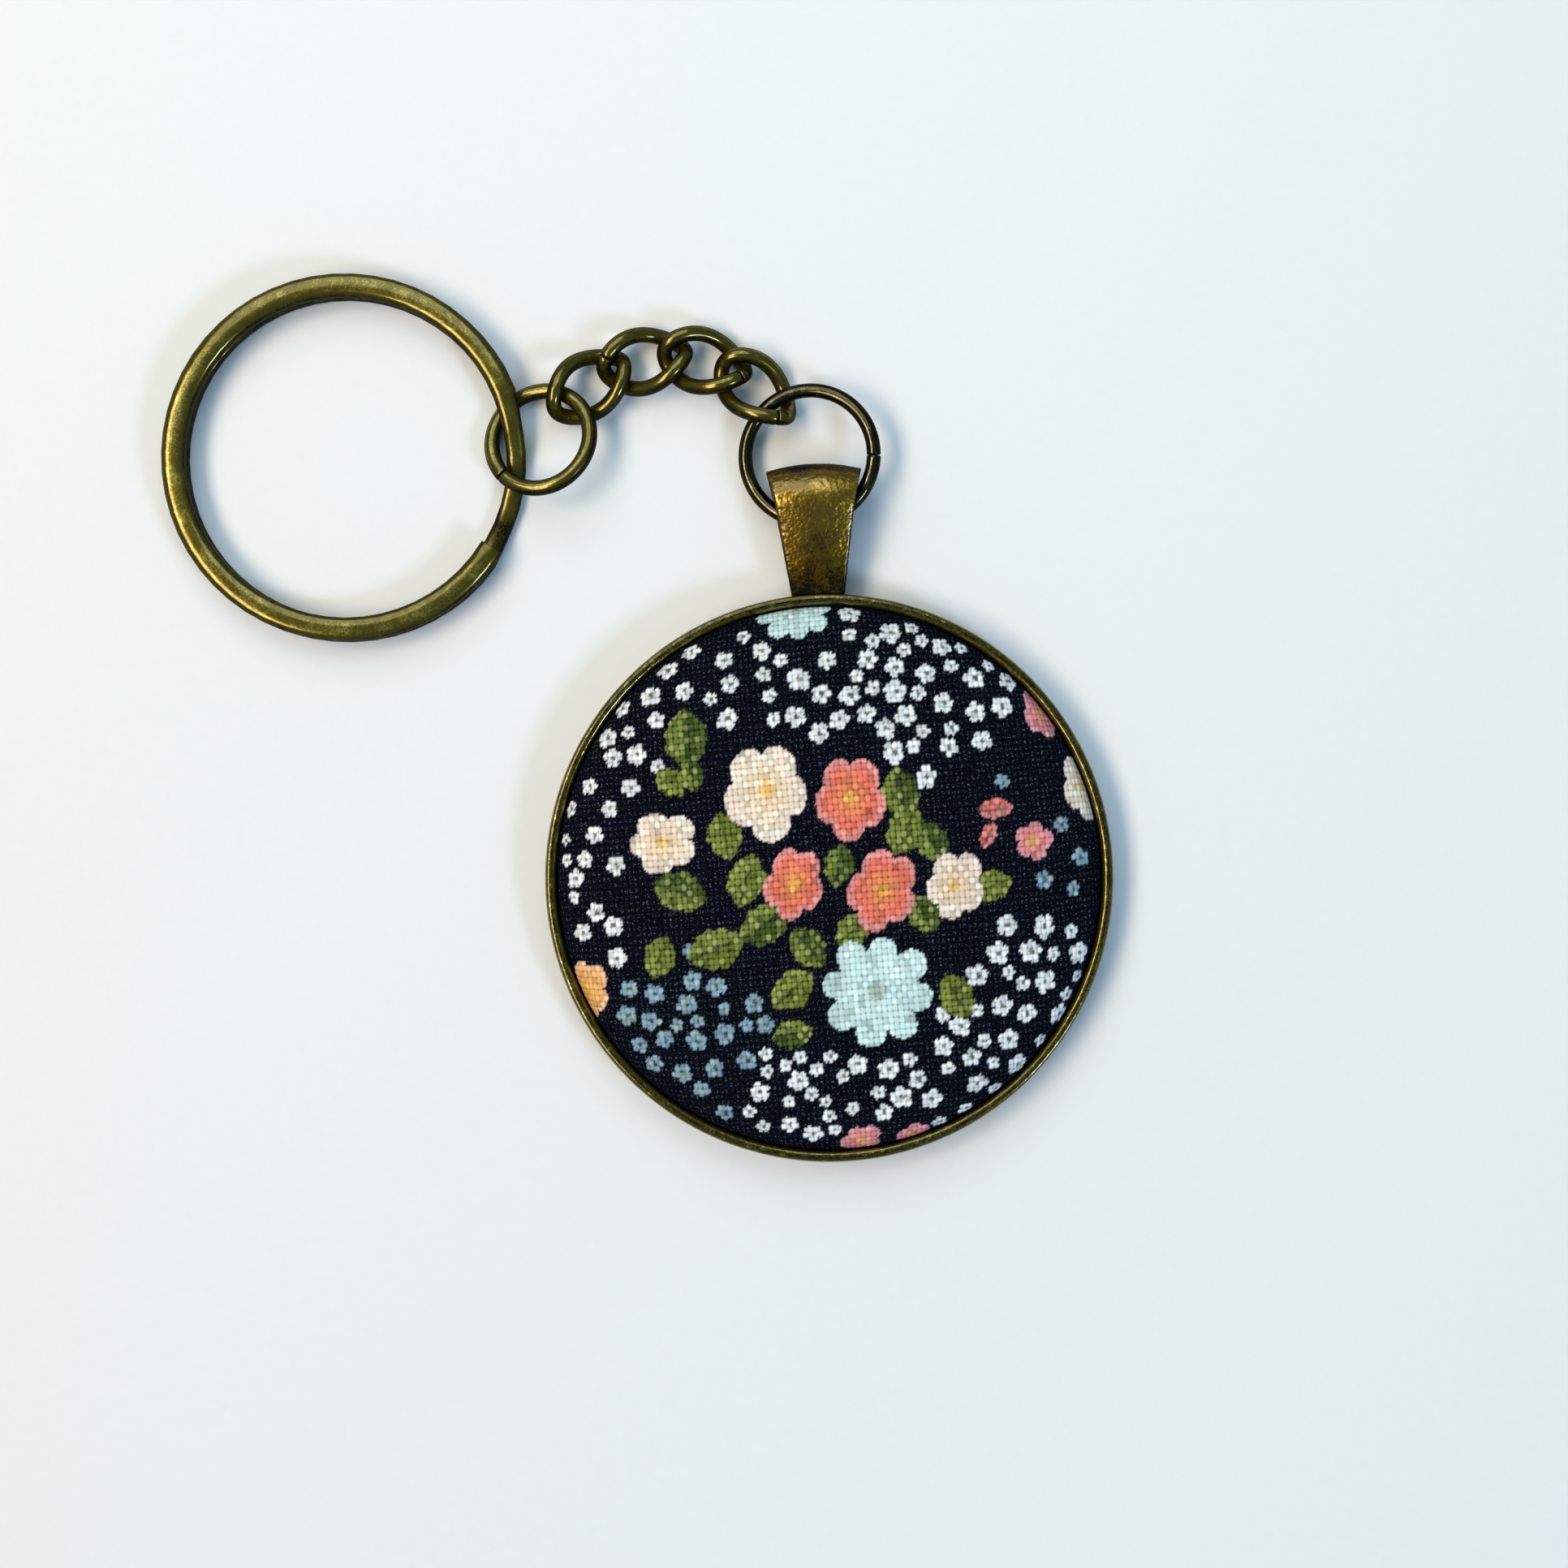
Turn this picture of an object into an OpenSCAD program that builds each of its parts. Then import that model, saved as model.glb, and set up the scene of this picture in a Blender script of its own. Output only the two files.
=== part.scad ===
// Keychain with a fabric-covered button: a split key ring, a small jump ring, four twisted
// curb links and a larger jump ring, which hangs in the bail of a round bezel tray.
// Origin: centre of the tray's flat back. +Z points out of the tray, +Y runs up through the bail.

/* [Tray] */
// Outside diameter of the tray
tray_d = 40.0; // [40.0:0.1:40.4]
// Thickness of the tray's upright wall
tray_wall = 0.75; // [0.6:0.05:0.75]
// Height of the tray's wall
tray_h = 3.0; // [2.6:0.1:3.2]
// Thickness of the tray's floor
tray_floor = 0.8; // [0.6:0.1:0.9]

/* [Button] */
// Diameter of the covered button
button_d = 38.4; // [38.0:0.1:38.4]
// Height of the button's crown above the tray's back
crown_h = 6.2; // [5.6:0.1:7.0]
// Thickness of the stretched fabric
cloth_t = 0.35; // [0.25:0.05:0.4]
// Thickness of the button's metal shell
shell_t = 0.4; // [0.3:0.05:0.5]

/* [Bail] */
// Height of the bail's top above the tray's centre
bail_top = 29.2; // [29.1:0.05:29.4]
// Half width of the bail where it meets the tray
bail_root_w = 1.87; // [1.7:0.05:2.0]
// Thickness of the bail's strip at the top of the loop
bail_t = 0.7; // [0.6:0.05:0.75]

/* [Rings] */
// Outside diameter of the key ring
key_ring_d = 26.0; // [25.8:0.1:26.0]
// Radial width of the key ring's wire
key_wire_w = 1.7; // [1.5:0.05:1.75]
// Height of one coil of the key ring
key_wire_h = 1.15; // [1.0:0.05:1.15]
// Outside diameter of the small jump ring
small_ring_d = 8.4; // [8.35:0.05:8.45]
// Wire diameter of the small jump ring
small_wire = 1.1; // [0.9:0.05:1.1]
// Outside diameter of the large jump ring
large_ring_d = 10.2; // [10.15:0.05:10.25]
// Wire diameter of the large jump ring
large_wire = 1.0; // [0.8:0.05:1.0]

/* [Chain] */
// Outside length of a curb link
link_l = 7.0; // [6.95:0.05:7.05]
// Outside width of a curb link
link_w = 4.9; // [4.85:0.05:4.95]
// Wire diameter of a curb link
link_wire = 1.1; // [0.9:0.05:1.1]
// Twist from a link's middle to its end, in degrees
link_twist = 45; // [44:1:46]

/* [Hidden] */

bronze = [0.42, 0.36, 0.14];
dark_bronze = [0.22, 0.19, 0.10];
tray_r = tray_d / 2;
button_r = button_d / 2;

// Heights inside the tray
glue_t = 0.3;
back_z = tray_floor + glue_t;
back_t = 0.5;
skirt_z = 1.9;
shell_base_z = 1.55;
cloth_hem_z = 1.2;

// Key ring: its lower coil starts under the upper one, climbs at the joggle and ends at the cut
coil_gap = 0.06;
lower_start = 22;
joggle_from = 346;
joggle_to = 370;
upper_cut = 320.5;
joggle_thinning = 0.3;

// Bail loop, seen from the side
loop_r = 2.4;
root_r = 1.3;
loop_at = [bail_top - loop_r, loop_r];
root_at = [20.6, 1.5];
slot_r = loop_r - bail_t;
slot_root_r = 0.75;
slot_root_at = [22.6, 1.8];

// Rest pose of each loose piece: [x, y, z, roll, pitch, yaw], millimetres and degrees
key_pose = [-33.05, 31.0, 0.12, 0.5, 0, 6];
small_pose = [-19.2, 31.75, 1.84, -16, -12, 8];
link_1_pose = [-15.7, 35.5, 1.48, 4, 7, 36];
link_2_pose = [-11.65, 37.1, 1.34, -3, -1, 10];
link_3_pose = [-7.4, 36.85, 1.44, -8, 0, -18];
link_4_pose = [-3.85, 34.75, 1.52, -14, -2, -44];
large_pose = [-0.25, 29.85, 1.98, 1, -10, -3];

function ease(t) = let (u = min(max(t, 0), 1)) u * u * (3 - 2 * u);
function unit(v) = v / norm(v);

module placed(p) {
    translate([p[0], p[1], p[2]]) rotate([p[3], p[4], p[5]]) children();
}

// A solid swept through rings of points, closed with a flat cap at each end
module sweep(rings) {
    n = len(rings);
    m = len(rings[0]);
    sides = [for (i = [0 : n - 2], j = [0 : m - 1])
        [i * m + j, (i + 1) * m + j, (i + 1) * m + (j + 1) % m, i * m + (j + 1) % m]];
    caps = [[for (j = [0 : m - 1]) j], [for (j = [m - 1 : -1 : 0]) (n - 1) * m + j]];
    polyhedron(points = [for (r = rings) each r], faces = concat(sides, caps), convexity = 6);
}

// Outline of the hull of two circles: an arc about each, joined by their two tangents
function taper_line(a, ra, b, rb) =
    let (d = b - a, turn = atan2(d[1], d[0]), lean = acos((ra - rb) / norm(d)))
    concat([for (i = [0 : 40]) a + ra * [cos(turn + lean + (360 - 2 * lean) * i / 40),
                                         sin(turn + lean + (360 - 2 * lean) * i / 40)]],
           [for (i = [0 : 12]) b + rb * [cos(turn - lean + 2 * lean * i / 12),
                                         sin(turn - lean + 2 * lean * i / 12)]]);

// Round wire bent into a circle, with a butt joint at angle seam
module jump_ring(outer_d, wire, seam) {
    joint = 1.2;
    rotate([0, 0, seam + joint / 2])
        rotate_extrude(angle = 360 - joint, $fn = 144)
            translate([(outer_d - wire) / 2, 0]) circle(wire / 2, $fn = 32);
}

// Centre line of a curb link: an oval, twisted about its long axis
function link_point(t) =
    let (a = (link_l - link_wire) / 2, b = (link_w - link_wire) / 2)
    let (turn = -link_twist * cos(t))
    [a * cos(t), b * sin(t) * cos(turn), b * sin(t) * sin(turn)];

module curb_link(seam) {
    joint = 1.6;
    rings = 66;
    sides = 20;
    r = link_wire / 2;
    function section(t) =
        let (along = unit(link_point(t + 0.5) - link_point(t - 0.5)))
        let (out = unit(link_point(t) - along * (link_point(t) * along)), up = cross(along, out))
        [for (j = [0 : sides - 1])
            link_point(t) + r * (out * cos(360 * j / sides) - up * sin(360 * j / sides))];
    sweep([for (i = [0 : rings - 1])
        section(seam + joint / 2 + (360 - joint) * i / (rings - 1))]);
}

// One cross-section of the key ring's wire at angle t: a rectangle with very round corners
function key_section(t) =
    let (lift = (key_wire_h + coil_gap) * ease((t - joggle_from) / (joggle_to - joggle_from)))
    let (thin = joggle_thinning * ease((t - upper_cut + 8) / 14) * (1 - ease((t - 362) / 14)))
    let (w = key_wire_w - thin, inner = key_ring_d / 2 - key_wire_w)
    [for (j = [0 : 17])
        let (c = cos(20 * j), s = sin(20 * j), round = 2 / 2.7)
        let (u = sign(c) * pow(abs(c), round), v = sign(s) * pow(abs(s), round))
        let (r = inner + w / 2 + u * w / 2)
        [r * cos(t), r * sin(t), key_wire_h / 2 * (1 + v) + lift]];

module split_ring() {
    steps = 168;
    span = upper_cut + 360 - lower_start;
    color(bronze) placed(key_pose)
        sweep([for (i = [0 : steps]) key_section(lower_start + span * i / steps)]);
}

module small_jump_ring() {
    color(bronze) placed(small_pose) jump_ring(small_ring_d, small_wire, 216);
}

module chain_link_1() {
    color(bronze) placed(link_1_pose) curb_link(35);
}

module chain_link_2() {
    color(bronze) placed(link_2_pose) curb_link(150);
}

module chain_link_3() {
    color(bronze) placed(link_3_pose) curb_link(-25);
}

module chain_link_4() {
    color(bronze) placed(link_4_pose) curb_link(-32);
}

module large_jump_ring() {
    color(dark_bronze) placed(large_pose) jump_ring(large_ring_d, large_wire, 0);
}

// Half width of the bail at height y: it flares towards the top
function bail_w(y) = let (t = (y - tray_r) / (bail_top - tray_r)) bail_root_w + 0.75 * t + 0.75 * t * t;

// Front outline of the bail, with an arched top edge
module bail_outline() {
    steps = 12;
    arch = 0.45;
    foot = tray_r - 1;
    shoulder = bail_top - arch;
    edge = [for (i = [0 : steps])
        let (y = foot + (shoulder - foot) * i / steps) [bail_w(y), y]];
    top_w = bail_w(shoulder);
    crest = [for (i = [1 : steps - 1])
        let (x = top_w * (1 - 2 * i / steps)) [x, bail_top - arch * pow(x / top_w, 2)]];
    mirrored = [for (i = [steps : -1 : 0]) [-edge[i][0], edge[i][1]]];
    polygon(concat(edge, crest, mirrored));
}

module bail() {
    depth = 2 * loop_r + 2;
    color(bronze) difference() {
        intersection() {
            rotate([90, 0, 90]) translate([0, 0, -5]) linear_extrude(10)
                difference() {
                    polygon(taper_line(loop_at, loop_r, root_at, root_r));
                    polygon(taper_line(loop_at, slot_r, slot_root_at, slot_root_r));
                }
            translate([0, 0, -1]) linear_extrude(depth) bail_outline();
        }
        translate([0, 0, -1]) cylinder(r = tray_r, h = depth, $fn = 180);
    }
}

// Round tray with a thin upright wall, a rolled lip and a softened lower edge
module bezel_tray() {
    lip = tray_wall / 2;
    soft = 0.35;
    color(bronze) rotate_extrude($fn = 180) {
        difference() {
            square([tray_r, tray_floor]);
            translate([tray_r - soft, 0]) square(soft);
        }
        translate([tray_r - soft, soft]) circle(soft, $fn = 48);
        translate([tray_r - tray_wall, soft]) square([tray_wall, tray_h - lip - soft]);
        translate([tray_r - lip, tray_h - lip]) circle(lip, $fn = 48);
    }
}

module glue_pad() {
    color("gainsboro") translate([0, 0, tray_floor]) cylinder(r = 14, h = glue_t, $fn = 120);
}

// Flat metal back with a raised ring that stiffens it
module button_back() {
    r = button_r - 2.2;
    color("silver") rotate_extrude($fn = 120) {
        translate([0, back_z]) square([r, back_t]);
        translate([r - 4, back_z + back_t]) square([2.4, 0.6]);
    }
}

// Height of the button's outer surface at radius p, for an outline of radius r and height h
function dome(p, r, h) = h * pow(max(1 - pow(p / r, 2.2), 0), 1 / 2.5);

// Outline of a dome from its crown to its skirt, with points closer together near the edge
function dome_line(r, top, base) =
    [for (i = [0 : 28]) let (p = r * sin(90 * i / 28)) [p, base + dome(p, r, top - base)]];

function dome_back(r, top, base) = let (line = dome_line(r, top, base)) [for (i = [28 : -1 : 0]) line[i]];

module button_shell() {
    r = button_r - cloth_t - 0.03;
    top = crown_h - cloth_t - 0.02;
    color("silver") rotate_extrude($fn = 120)
        polygon(concat(dome_line(r, top, skirt_z), [[r, shell_base_z], [r - shell_t, shell_base_z]],
                       dome_back(r - shell_t, top - shell_t, skirt_z)));
}

// Cloth over the shell, turned in under its lower edge
module fabric_cover() {
    r = button_r;
    inner = r - cloth_t;
    color([0.05, 0.06, 0.18]) rotate_extrude($fn = 120)
        polygon(concat(dome_line(r, crown_h, skirt_z), [[r, cloth_hem_z], [r - 2, cloth_hem_z]],
                       [[r - 2, shell_base_z - 0.03], [inner, shell_base_z - 0.03]],
                       dome_back(inner, crown_h - cloth_t, skirt_z)));
}

split_ring();
small_jump_ring();
chain_link_1();
chain_link_2();
chain_link_3();
chain_link_4();
large_jump_ring();
bail();
bezel_tray();
glue_pad();
button_back();
button_shell();
fabric_cover();
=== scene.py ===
"""Finishes a keychain with a fabric-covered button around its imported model.

The loose rings and links are cut as straight wire and bent to shape, the bail and the tray are
cast pieces, and the button's cover is one sheet of plain-weave cotton with a small floral print.
Pieces are modelled in millimetres and set down in metres.
"""

import logging
import math
from contextlib import contextmanager
from dataclasses import dataclass, field
from enum import Enum
from typing import Callable, Iterable, Iterator, Sequence

import bpy
import numpy as np
from mathutils import Euler, Matrix, Vector


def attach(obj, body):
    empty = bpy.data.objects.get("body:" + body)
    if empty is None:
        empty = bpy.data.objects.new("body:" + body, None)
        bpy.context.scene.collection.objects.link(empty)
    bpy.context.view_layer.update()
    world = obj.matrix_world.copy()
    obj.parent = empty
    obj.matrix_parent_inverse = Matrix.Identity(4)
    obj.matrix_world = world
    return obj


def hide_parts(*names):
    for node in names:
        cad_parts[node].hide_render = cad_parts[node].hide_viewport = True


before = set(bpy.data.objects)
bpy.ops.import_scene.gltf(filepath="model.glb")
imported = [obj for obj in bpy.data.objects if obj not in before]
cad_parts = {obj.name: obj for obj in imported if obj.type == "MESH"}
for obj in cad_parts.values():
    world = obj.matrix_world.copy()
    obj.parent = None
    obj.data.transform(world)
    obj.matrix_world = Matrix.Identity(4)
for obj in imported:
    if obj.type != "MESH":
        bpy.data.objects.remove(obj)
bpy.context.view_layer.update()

MM = 0.001
LOG = logging.getLogger("keychain")

Colour = tuple[float, float, float]
Socket = bpy.types.NodeSocket


def from_screen(red: int, green: int, blue: int) -> Colour:
    """Turns a colour in 0 to 255 screen values into linear light, 0 to 1."""
    return tuple(((value / 255 + 0.055) / 1.055) ** 2.4 for value in (red, green, blue))


# ---------------------------------------------------------------------------------------------
# The bench: selecting, editing and setting pieces down
# ---------------------------------------------------------------------------------------------


class Element(Enum):
    """What is picked in edit mode; the value is the mesh's own list of them."""

    VERT = "vertices"
    EDGE = "edges"
    FACE = "polygons"


class Bench:
    """Shared ways of working on one piece with Blender's own operators."""

    @staticmethod
    def clear() -> None:
        """Deselects every object."""
        bpy.ops.object.select_all(action="DESELECT")

    @staticmethod
    def pick(piece: bpy.types.Object) -> None:
        """Makes a piece the only selected and the active object.

        Args:
            piece: The piece.
        """
        Bench.clear()
        piece.select_set(True)
        bpy.context.view_layer.objects.active = piece

    @staticmethod
    @contextmanager
    def editing(piece: bpy.types.Object, element: Element) -> Iterator[None]:
        """Holds a piece in edit mode with nothing selected.

        Args:
            piece: The piece to edit.
            element: What is picked.

        Returns:
            A context that yields nothing; the piece is back in object mode after it.
        """
        Bench.pick(piece)
        bpy.ops.object.mode_set(mode="EDIT")
        bpy.ops.mesh.select_mode(type=element.name)
        bpy.ops.mesh.select_all(action="DESELECT")
        yield
        bpy.ops.object.mode_set(mode="OBJECT")

    @staticmethod
    def select(piece: bpy.types.Object, element: Element, wanted: Callable[[object], bool]) -> None:
        """Selects the vertices, edges or faces of a piece in edit mode that pass a test.

        Args:
            piece: The piece, in edit mode.
            element: What is picked.
            wanted: Says whether one of them is wanted.
        """
        bpy.ops.mesh.select_all(action="DESELECT")
        bpy.ops.object.mode_set(mode="OBJECT")
        for item in [item for item in getattr(piece.data, element.value) if wanted(item)]:
            item.select = True
        bpy.ops.object.mode_set(mode="EDIT")

    @staticmethod
    def apply(piece: bpy.types.Object, kind: str, **settings: object) -> None:
        """Adds a modifier to a piece and applies it.

        Args:
            piece: The piece.
            kind: The modifier's type, such as "BEVEL".
            **settings: The modifier's own settings.
        """
        Bench.pick(piece)
        modifier = piece.modifiers.new(kind.lower(), kind)
        for key, value in settings.items():
            setattr(modifier, key, value)
        bpy.ops.object.modifier_apply(modifier=modifier.name)

    @staticmethod
    def points(piece: bpy.types.Object) -> np.ndarray:
        """Reads where a piece's vertices are.

        Args:
            piece: The piece.

        Returns:
            One row (x, y, z) per vertex.
        """
        flat = np.empty(len(piece.data.vertices) * 3)
        piece.data.vertices.foreach_get("co", flat)
        return flat.reshape(-1, 3)

    @staticmethod
    def move(piece: bpy.types.Object, points: np.ndarray) -> None:
        """Writes new places for all of a piece's vertices."""
        piece.data.vertices.foreach_set("co", points.ravel())
        piece.data.update()

    @staticmethod
    def normals(piece: bpy.types.Object) -> np.ndarray:
        """Reads the normal at each of a piece's vertices.

        Args:
            piece: The piece.

        Returns:
            One row (x, y, z) per vertex, each of length 1.
        """
        flat = np.empty(len(piece.data.vertices) * 3)
        piece.data.vertex_normals.foreach_get("vector", flat)
        return flat.reshape(-1, 3)

    @staticmethod
    def paint(piece: bpy.types.Object, name: str, values: np.ndarray) -> None:
        """Stores one number per vertex as a named attribute."""
        layer = piece.data.attributes.new(name, "FLOAT", "POINT")
        layer.data.foreach_set("value", np.clip(values, 0, 1).astype(np.float32))

    @staticmethod
    def crests(piece: bpy.types.Object, reach: float, passes: int = 3) -> np.ndarray:
        """Finds how far each vertex stands proud of its neighbours.

        Args:
            piece: The piece.
            reach: The height in the piece's own units that counts as fully proud.
            passes: How many times the result is spread to the neighbours.

        Returns:
            One number per vertex, 0 in a hollow, 0.5 on a flat and 1 on a sharp crest.
        """
        mesh = piece.data
        ends = np.empty(len(mesh.edges) * 2, dtype=int)
        mesh.edges.foreach_get("vertices", ends)
        ends = ends.reshape(-1, 2)
        both = np.concatenate([ends, ends[:, ::-1]])
        count = np.maximum(np.bincount(both[:, 0], minlength=len(mesh.vertices)), 1)

        def around(values: np.ndarray) -> np.ndarray:
            """Averages values over each vertex's neighbours.

            Args:
                values: One number or one row per vertex.

            Returns:
                The averages, in the same shape.
            """
            total = np.zeros_like(values)
            np.add.at(total, both[:, 0], values[both[:, 1]])
            return total / (count[:, None] if values.ndim == 2 else count)

        points = Bench.points(piece)
        proud = ((points - around(points)) * Bench.normals(piece)).sum(axis=1)
        for _ in range(passes):
            proud = 0.5 * proud + 0.5 * around(proud)
        return np.clip(0.5 + proud / (2 * reach), 0, 1)

    @staticmethod
    def set_down(piece: bpy.types.Object, name: str, place: Matrix, smooth: float) -> None:
        """Places a piece modelled in millimetres, in metres, with its object at the origin.

        Args:
            piece: The finished piece.
            name: Its name.
            place: Where it goes, in millimetres.
            smooth: Edges sharper than this angle, in degrees, stay sharp.
        """
        Bench.pick(piece)
        bpy.ops.object.shade_smooth_by_angle(angle=math.radians(smooth))
        piece.data.transform(Matrix.Scale(MM, 4) @ place)
        piece.name = name
        piece.data.name = name

    @staticmethod
    def dress(piece: bpy.types.Object, material: bpy.types.Material) -> None:
        """Gives a piece one material."""
        piece.data.materials.clear()
        piece.data.materials.append(material)

    @staticmethod
    def fit(piece: bpy.types.Object, body: str, slot: str, *nodes: str) -> None:
        """Hands a finished piece to the frame.

        Args:
            piece: The finished piece.
            body: The body that it moves with.
            slot: The record's material slot; not used.
            *nodes: The nodes that it stands for.
        """
        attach(piece, body)
        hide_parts(*nodes)
        LOG.info("%s: %d faces, on %s", piece.name, len(piece.data.polygons), body)


# ---------------------------------------------------------------------------------------------
# Finishes
# ---------------------------------------------------------------------------------------------


class Blend(Enum):
    """Ways of mixing two colours."""

    MIX = "MIX"
    MULTIPLY = "MULTIPLY"
    SCREEN = "SCREEN"


class Graph:
    """A material's node tree, with short calls that add its nodes and join them."""

    def __init__(self, name: str) -> None:
        """Starts a material with a shader and nothing else.

        Args:
            name: The material's name.
        """
        self.material = bpy.data.materials.new(name)
        self.material.use_nodes = True
        self.tree = self.material.node_tree
        self.tree.nodes.clear()
        output = self.node("ShaderNodeOutputMaterial")
        self.shader = self.node("ShaderNodeBsdfPrincipled")
        self.join(self.shader.outputs["BSDF"], output.inputs["Surface"])

    def node(self, kind: str, **settings: object) -> bpy.types.Node:
        """Adds a node.

        Args:
            kind: The node's type.
            **settings: The node's own settings.

        Returns:
            The node.
        """
        node = self.tree.nodes.new(kind)
        for key, value in settings.items():
            setattr(node, key, value)
        return node

    def join(self, source: Socket, target: Socket) -> None:
        """Links one socket to another."""
        self.tree.links.new(source, target)

    def feed(self, target: Socket, value: "Socket | float | Colour") -> None:
        """Links a socket to a target, or sets the target's own value.

        Args:
            target: The socket that is fed.
            value: A socket to link, or a number or colour to set.
        """
        if isinstance(value, bpy.types.NodeSocket):
            self.join(value, target)
        elif isinstance(value, tuple):
            target.default_value = (*value, 1)
        else:
            target.default_value = value

    def set(self, **values: "Socket | float | Colour") -> None:
        """Sets or links the shader's sockets, named with _ for each space."""
        for key, value in values.items():
            self.feed(self.shader.inputs[key.replace("_", " ")], value)

    def place(self) -> Socket:
        """Gives the piece's own coordinates, in metres."""
        return self.node("ShaderNodeTexCoord").outputs["Object"]

    def attribute(self, name: str, output: str = "Fac") -> Socket:
        """Reads a named attribute of the mesh."""
        return self.node("ShaderNodeAttribute", attribute_name=name).outputs[output]

    def math(self, operation: str, *values: "Socket | float", clamp: bool = False) -> Socket:
        """Adds a math node.

        Args:
            operation: The operation, such as "MULTIPLY".
            *values: Its inputs, in order.
            clamp: Whether the result is held to 0 to 1.

        Returns:
            The result.
        """
        node = self.node("ShaderNodeMath", operation=operation, use_clamp=clamp)
        for socket, value in zip(node.inputs, values):
            self.feed(socket, value)
        return node.outputs[0]

    def noise(self, size: float, detail: float = 3, roughness: float = 0.55) -> Socket:
        """Adds soft noise.

        Args:
            size: How far across its blotches are, in millimetres.
            detail: How many finer layers it has.
            roughness: How strong the finer layers are, 0 to 1.

        Returns:
            The noise, 0 to 1.
        """
        node = self.node("ShaderNodeTexNoise")
        self.join(self.place(), node.inputs["Vector"])
        self.feed(node.inputs["Scale"], 1 / (size * MM))
        self.feed(node.inputs["Detail"], detail)
        self.feed(node.inputs["Roughness"], roughness)
        return node.outputs["Fac"]

    def dents(self, size: float) -> Socket:
        """Adds rounded dents.

        Args:
            size: How far across the dents are, in millimetres.

        Returns:
            The distance from the nearest dent's middle, about 0 to 1.
        """
        node = self.node("ShaderNodeTexVoronoi", feature="SMOOTH_F1")
        self.join(self.place(), node.inputs["Vector"])
        self.feed(node.inputs["Scale"], 1 / (size * MM))
        self.feed(node.inputs["Smoothness"], 0.6)
        return node.outputs["Distance"]

    def span(self, value: Socket, low: float, high: float, start: float, end: float) -> Socket:
        """Maps one span of numbers onto another, smoothly and held at both ends.

        Args:
            value: The number to map.
            low: The lower end of the first span.
            high: The upper end of the first span.
            start: What the lower end becomes.
            end: What the upper end becomes.

        Returns:
            The mapped number.
        """
        node = self.node("ShaderNodeMapRange", interpolation_type="SMOOTHSTEP")
        for socket, number in zip(node.inputs, (value, low, high, start, end)):
            self.feed(socket, number)
        return node.outputs["Result"]

    def mix(self, factor: "Socket | float", first: "Socket | Colour",
            second: "Socket | Colour", blend: Blend = Blend.MIX) -> Socket:
        """Mixes two colours.

        Args:
            factor: How much of the second colour is used.
            first: The first colour.
            second: The second colour.
            blend: The way of mixing.

        Returns:
            The mixed colour.
        """
        node = self.node("ShaderNodeMix", data_type="RGBA", blend_type=blend.value)
        self.feed(node.inputs["Factor"], factor)
        self.feed(node.inputs[6], first)
        self.feed(node.inputs[7], second)
        return node.outputs[2]

    def bump(self, height: Socket, depth: float, strength: float) -> None:
        """Adds relief to the shader, under any relief that it has already.

        Args:
            height: The height, 0 to 1.
            depth: What a height of 1 measures, in millimetres.
            strength: How strongly the relief shows.
        """
        node = self.node("ShaderNodeBump")
        self.feed(node.inputs["Strength"], strength)
        self.feed(node.inputs["Distance"], depth * MM)
        self.join(height, node.inputs["Height"])
        normal = self.shader.inputs["Normal"]
        if normal.is_linked:
            self.join(normal.links[0].from_socket, node.inputs["Normal"])
        self.join(node.outputs["Normal"], normal)


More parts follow.
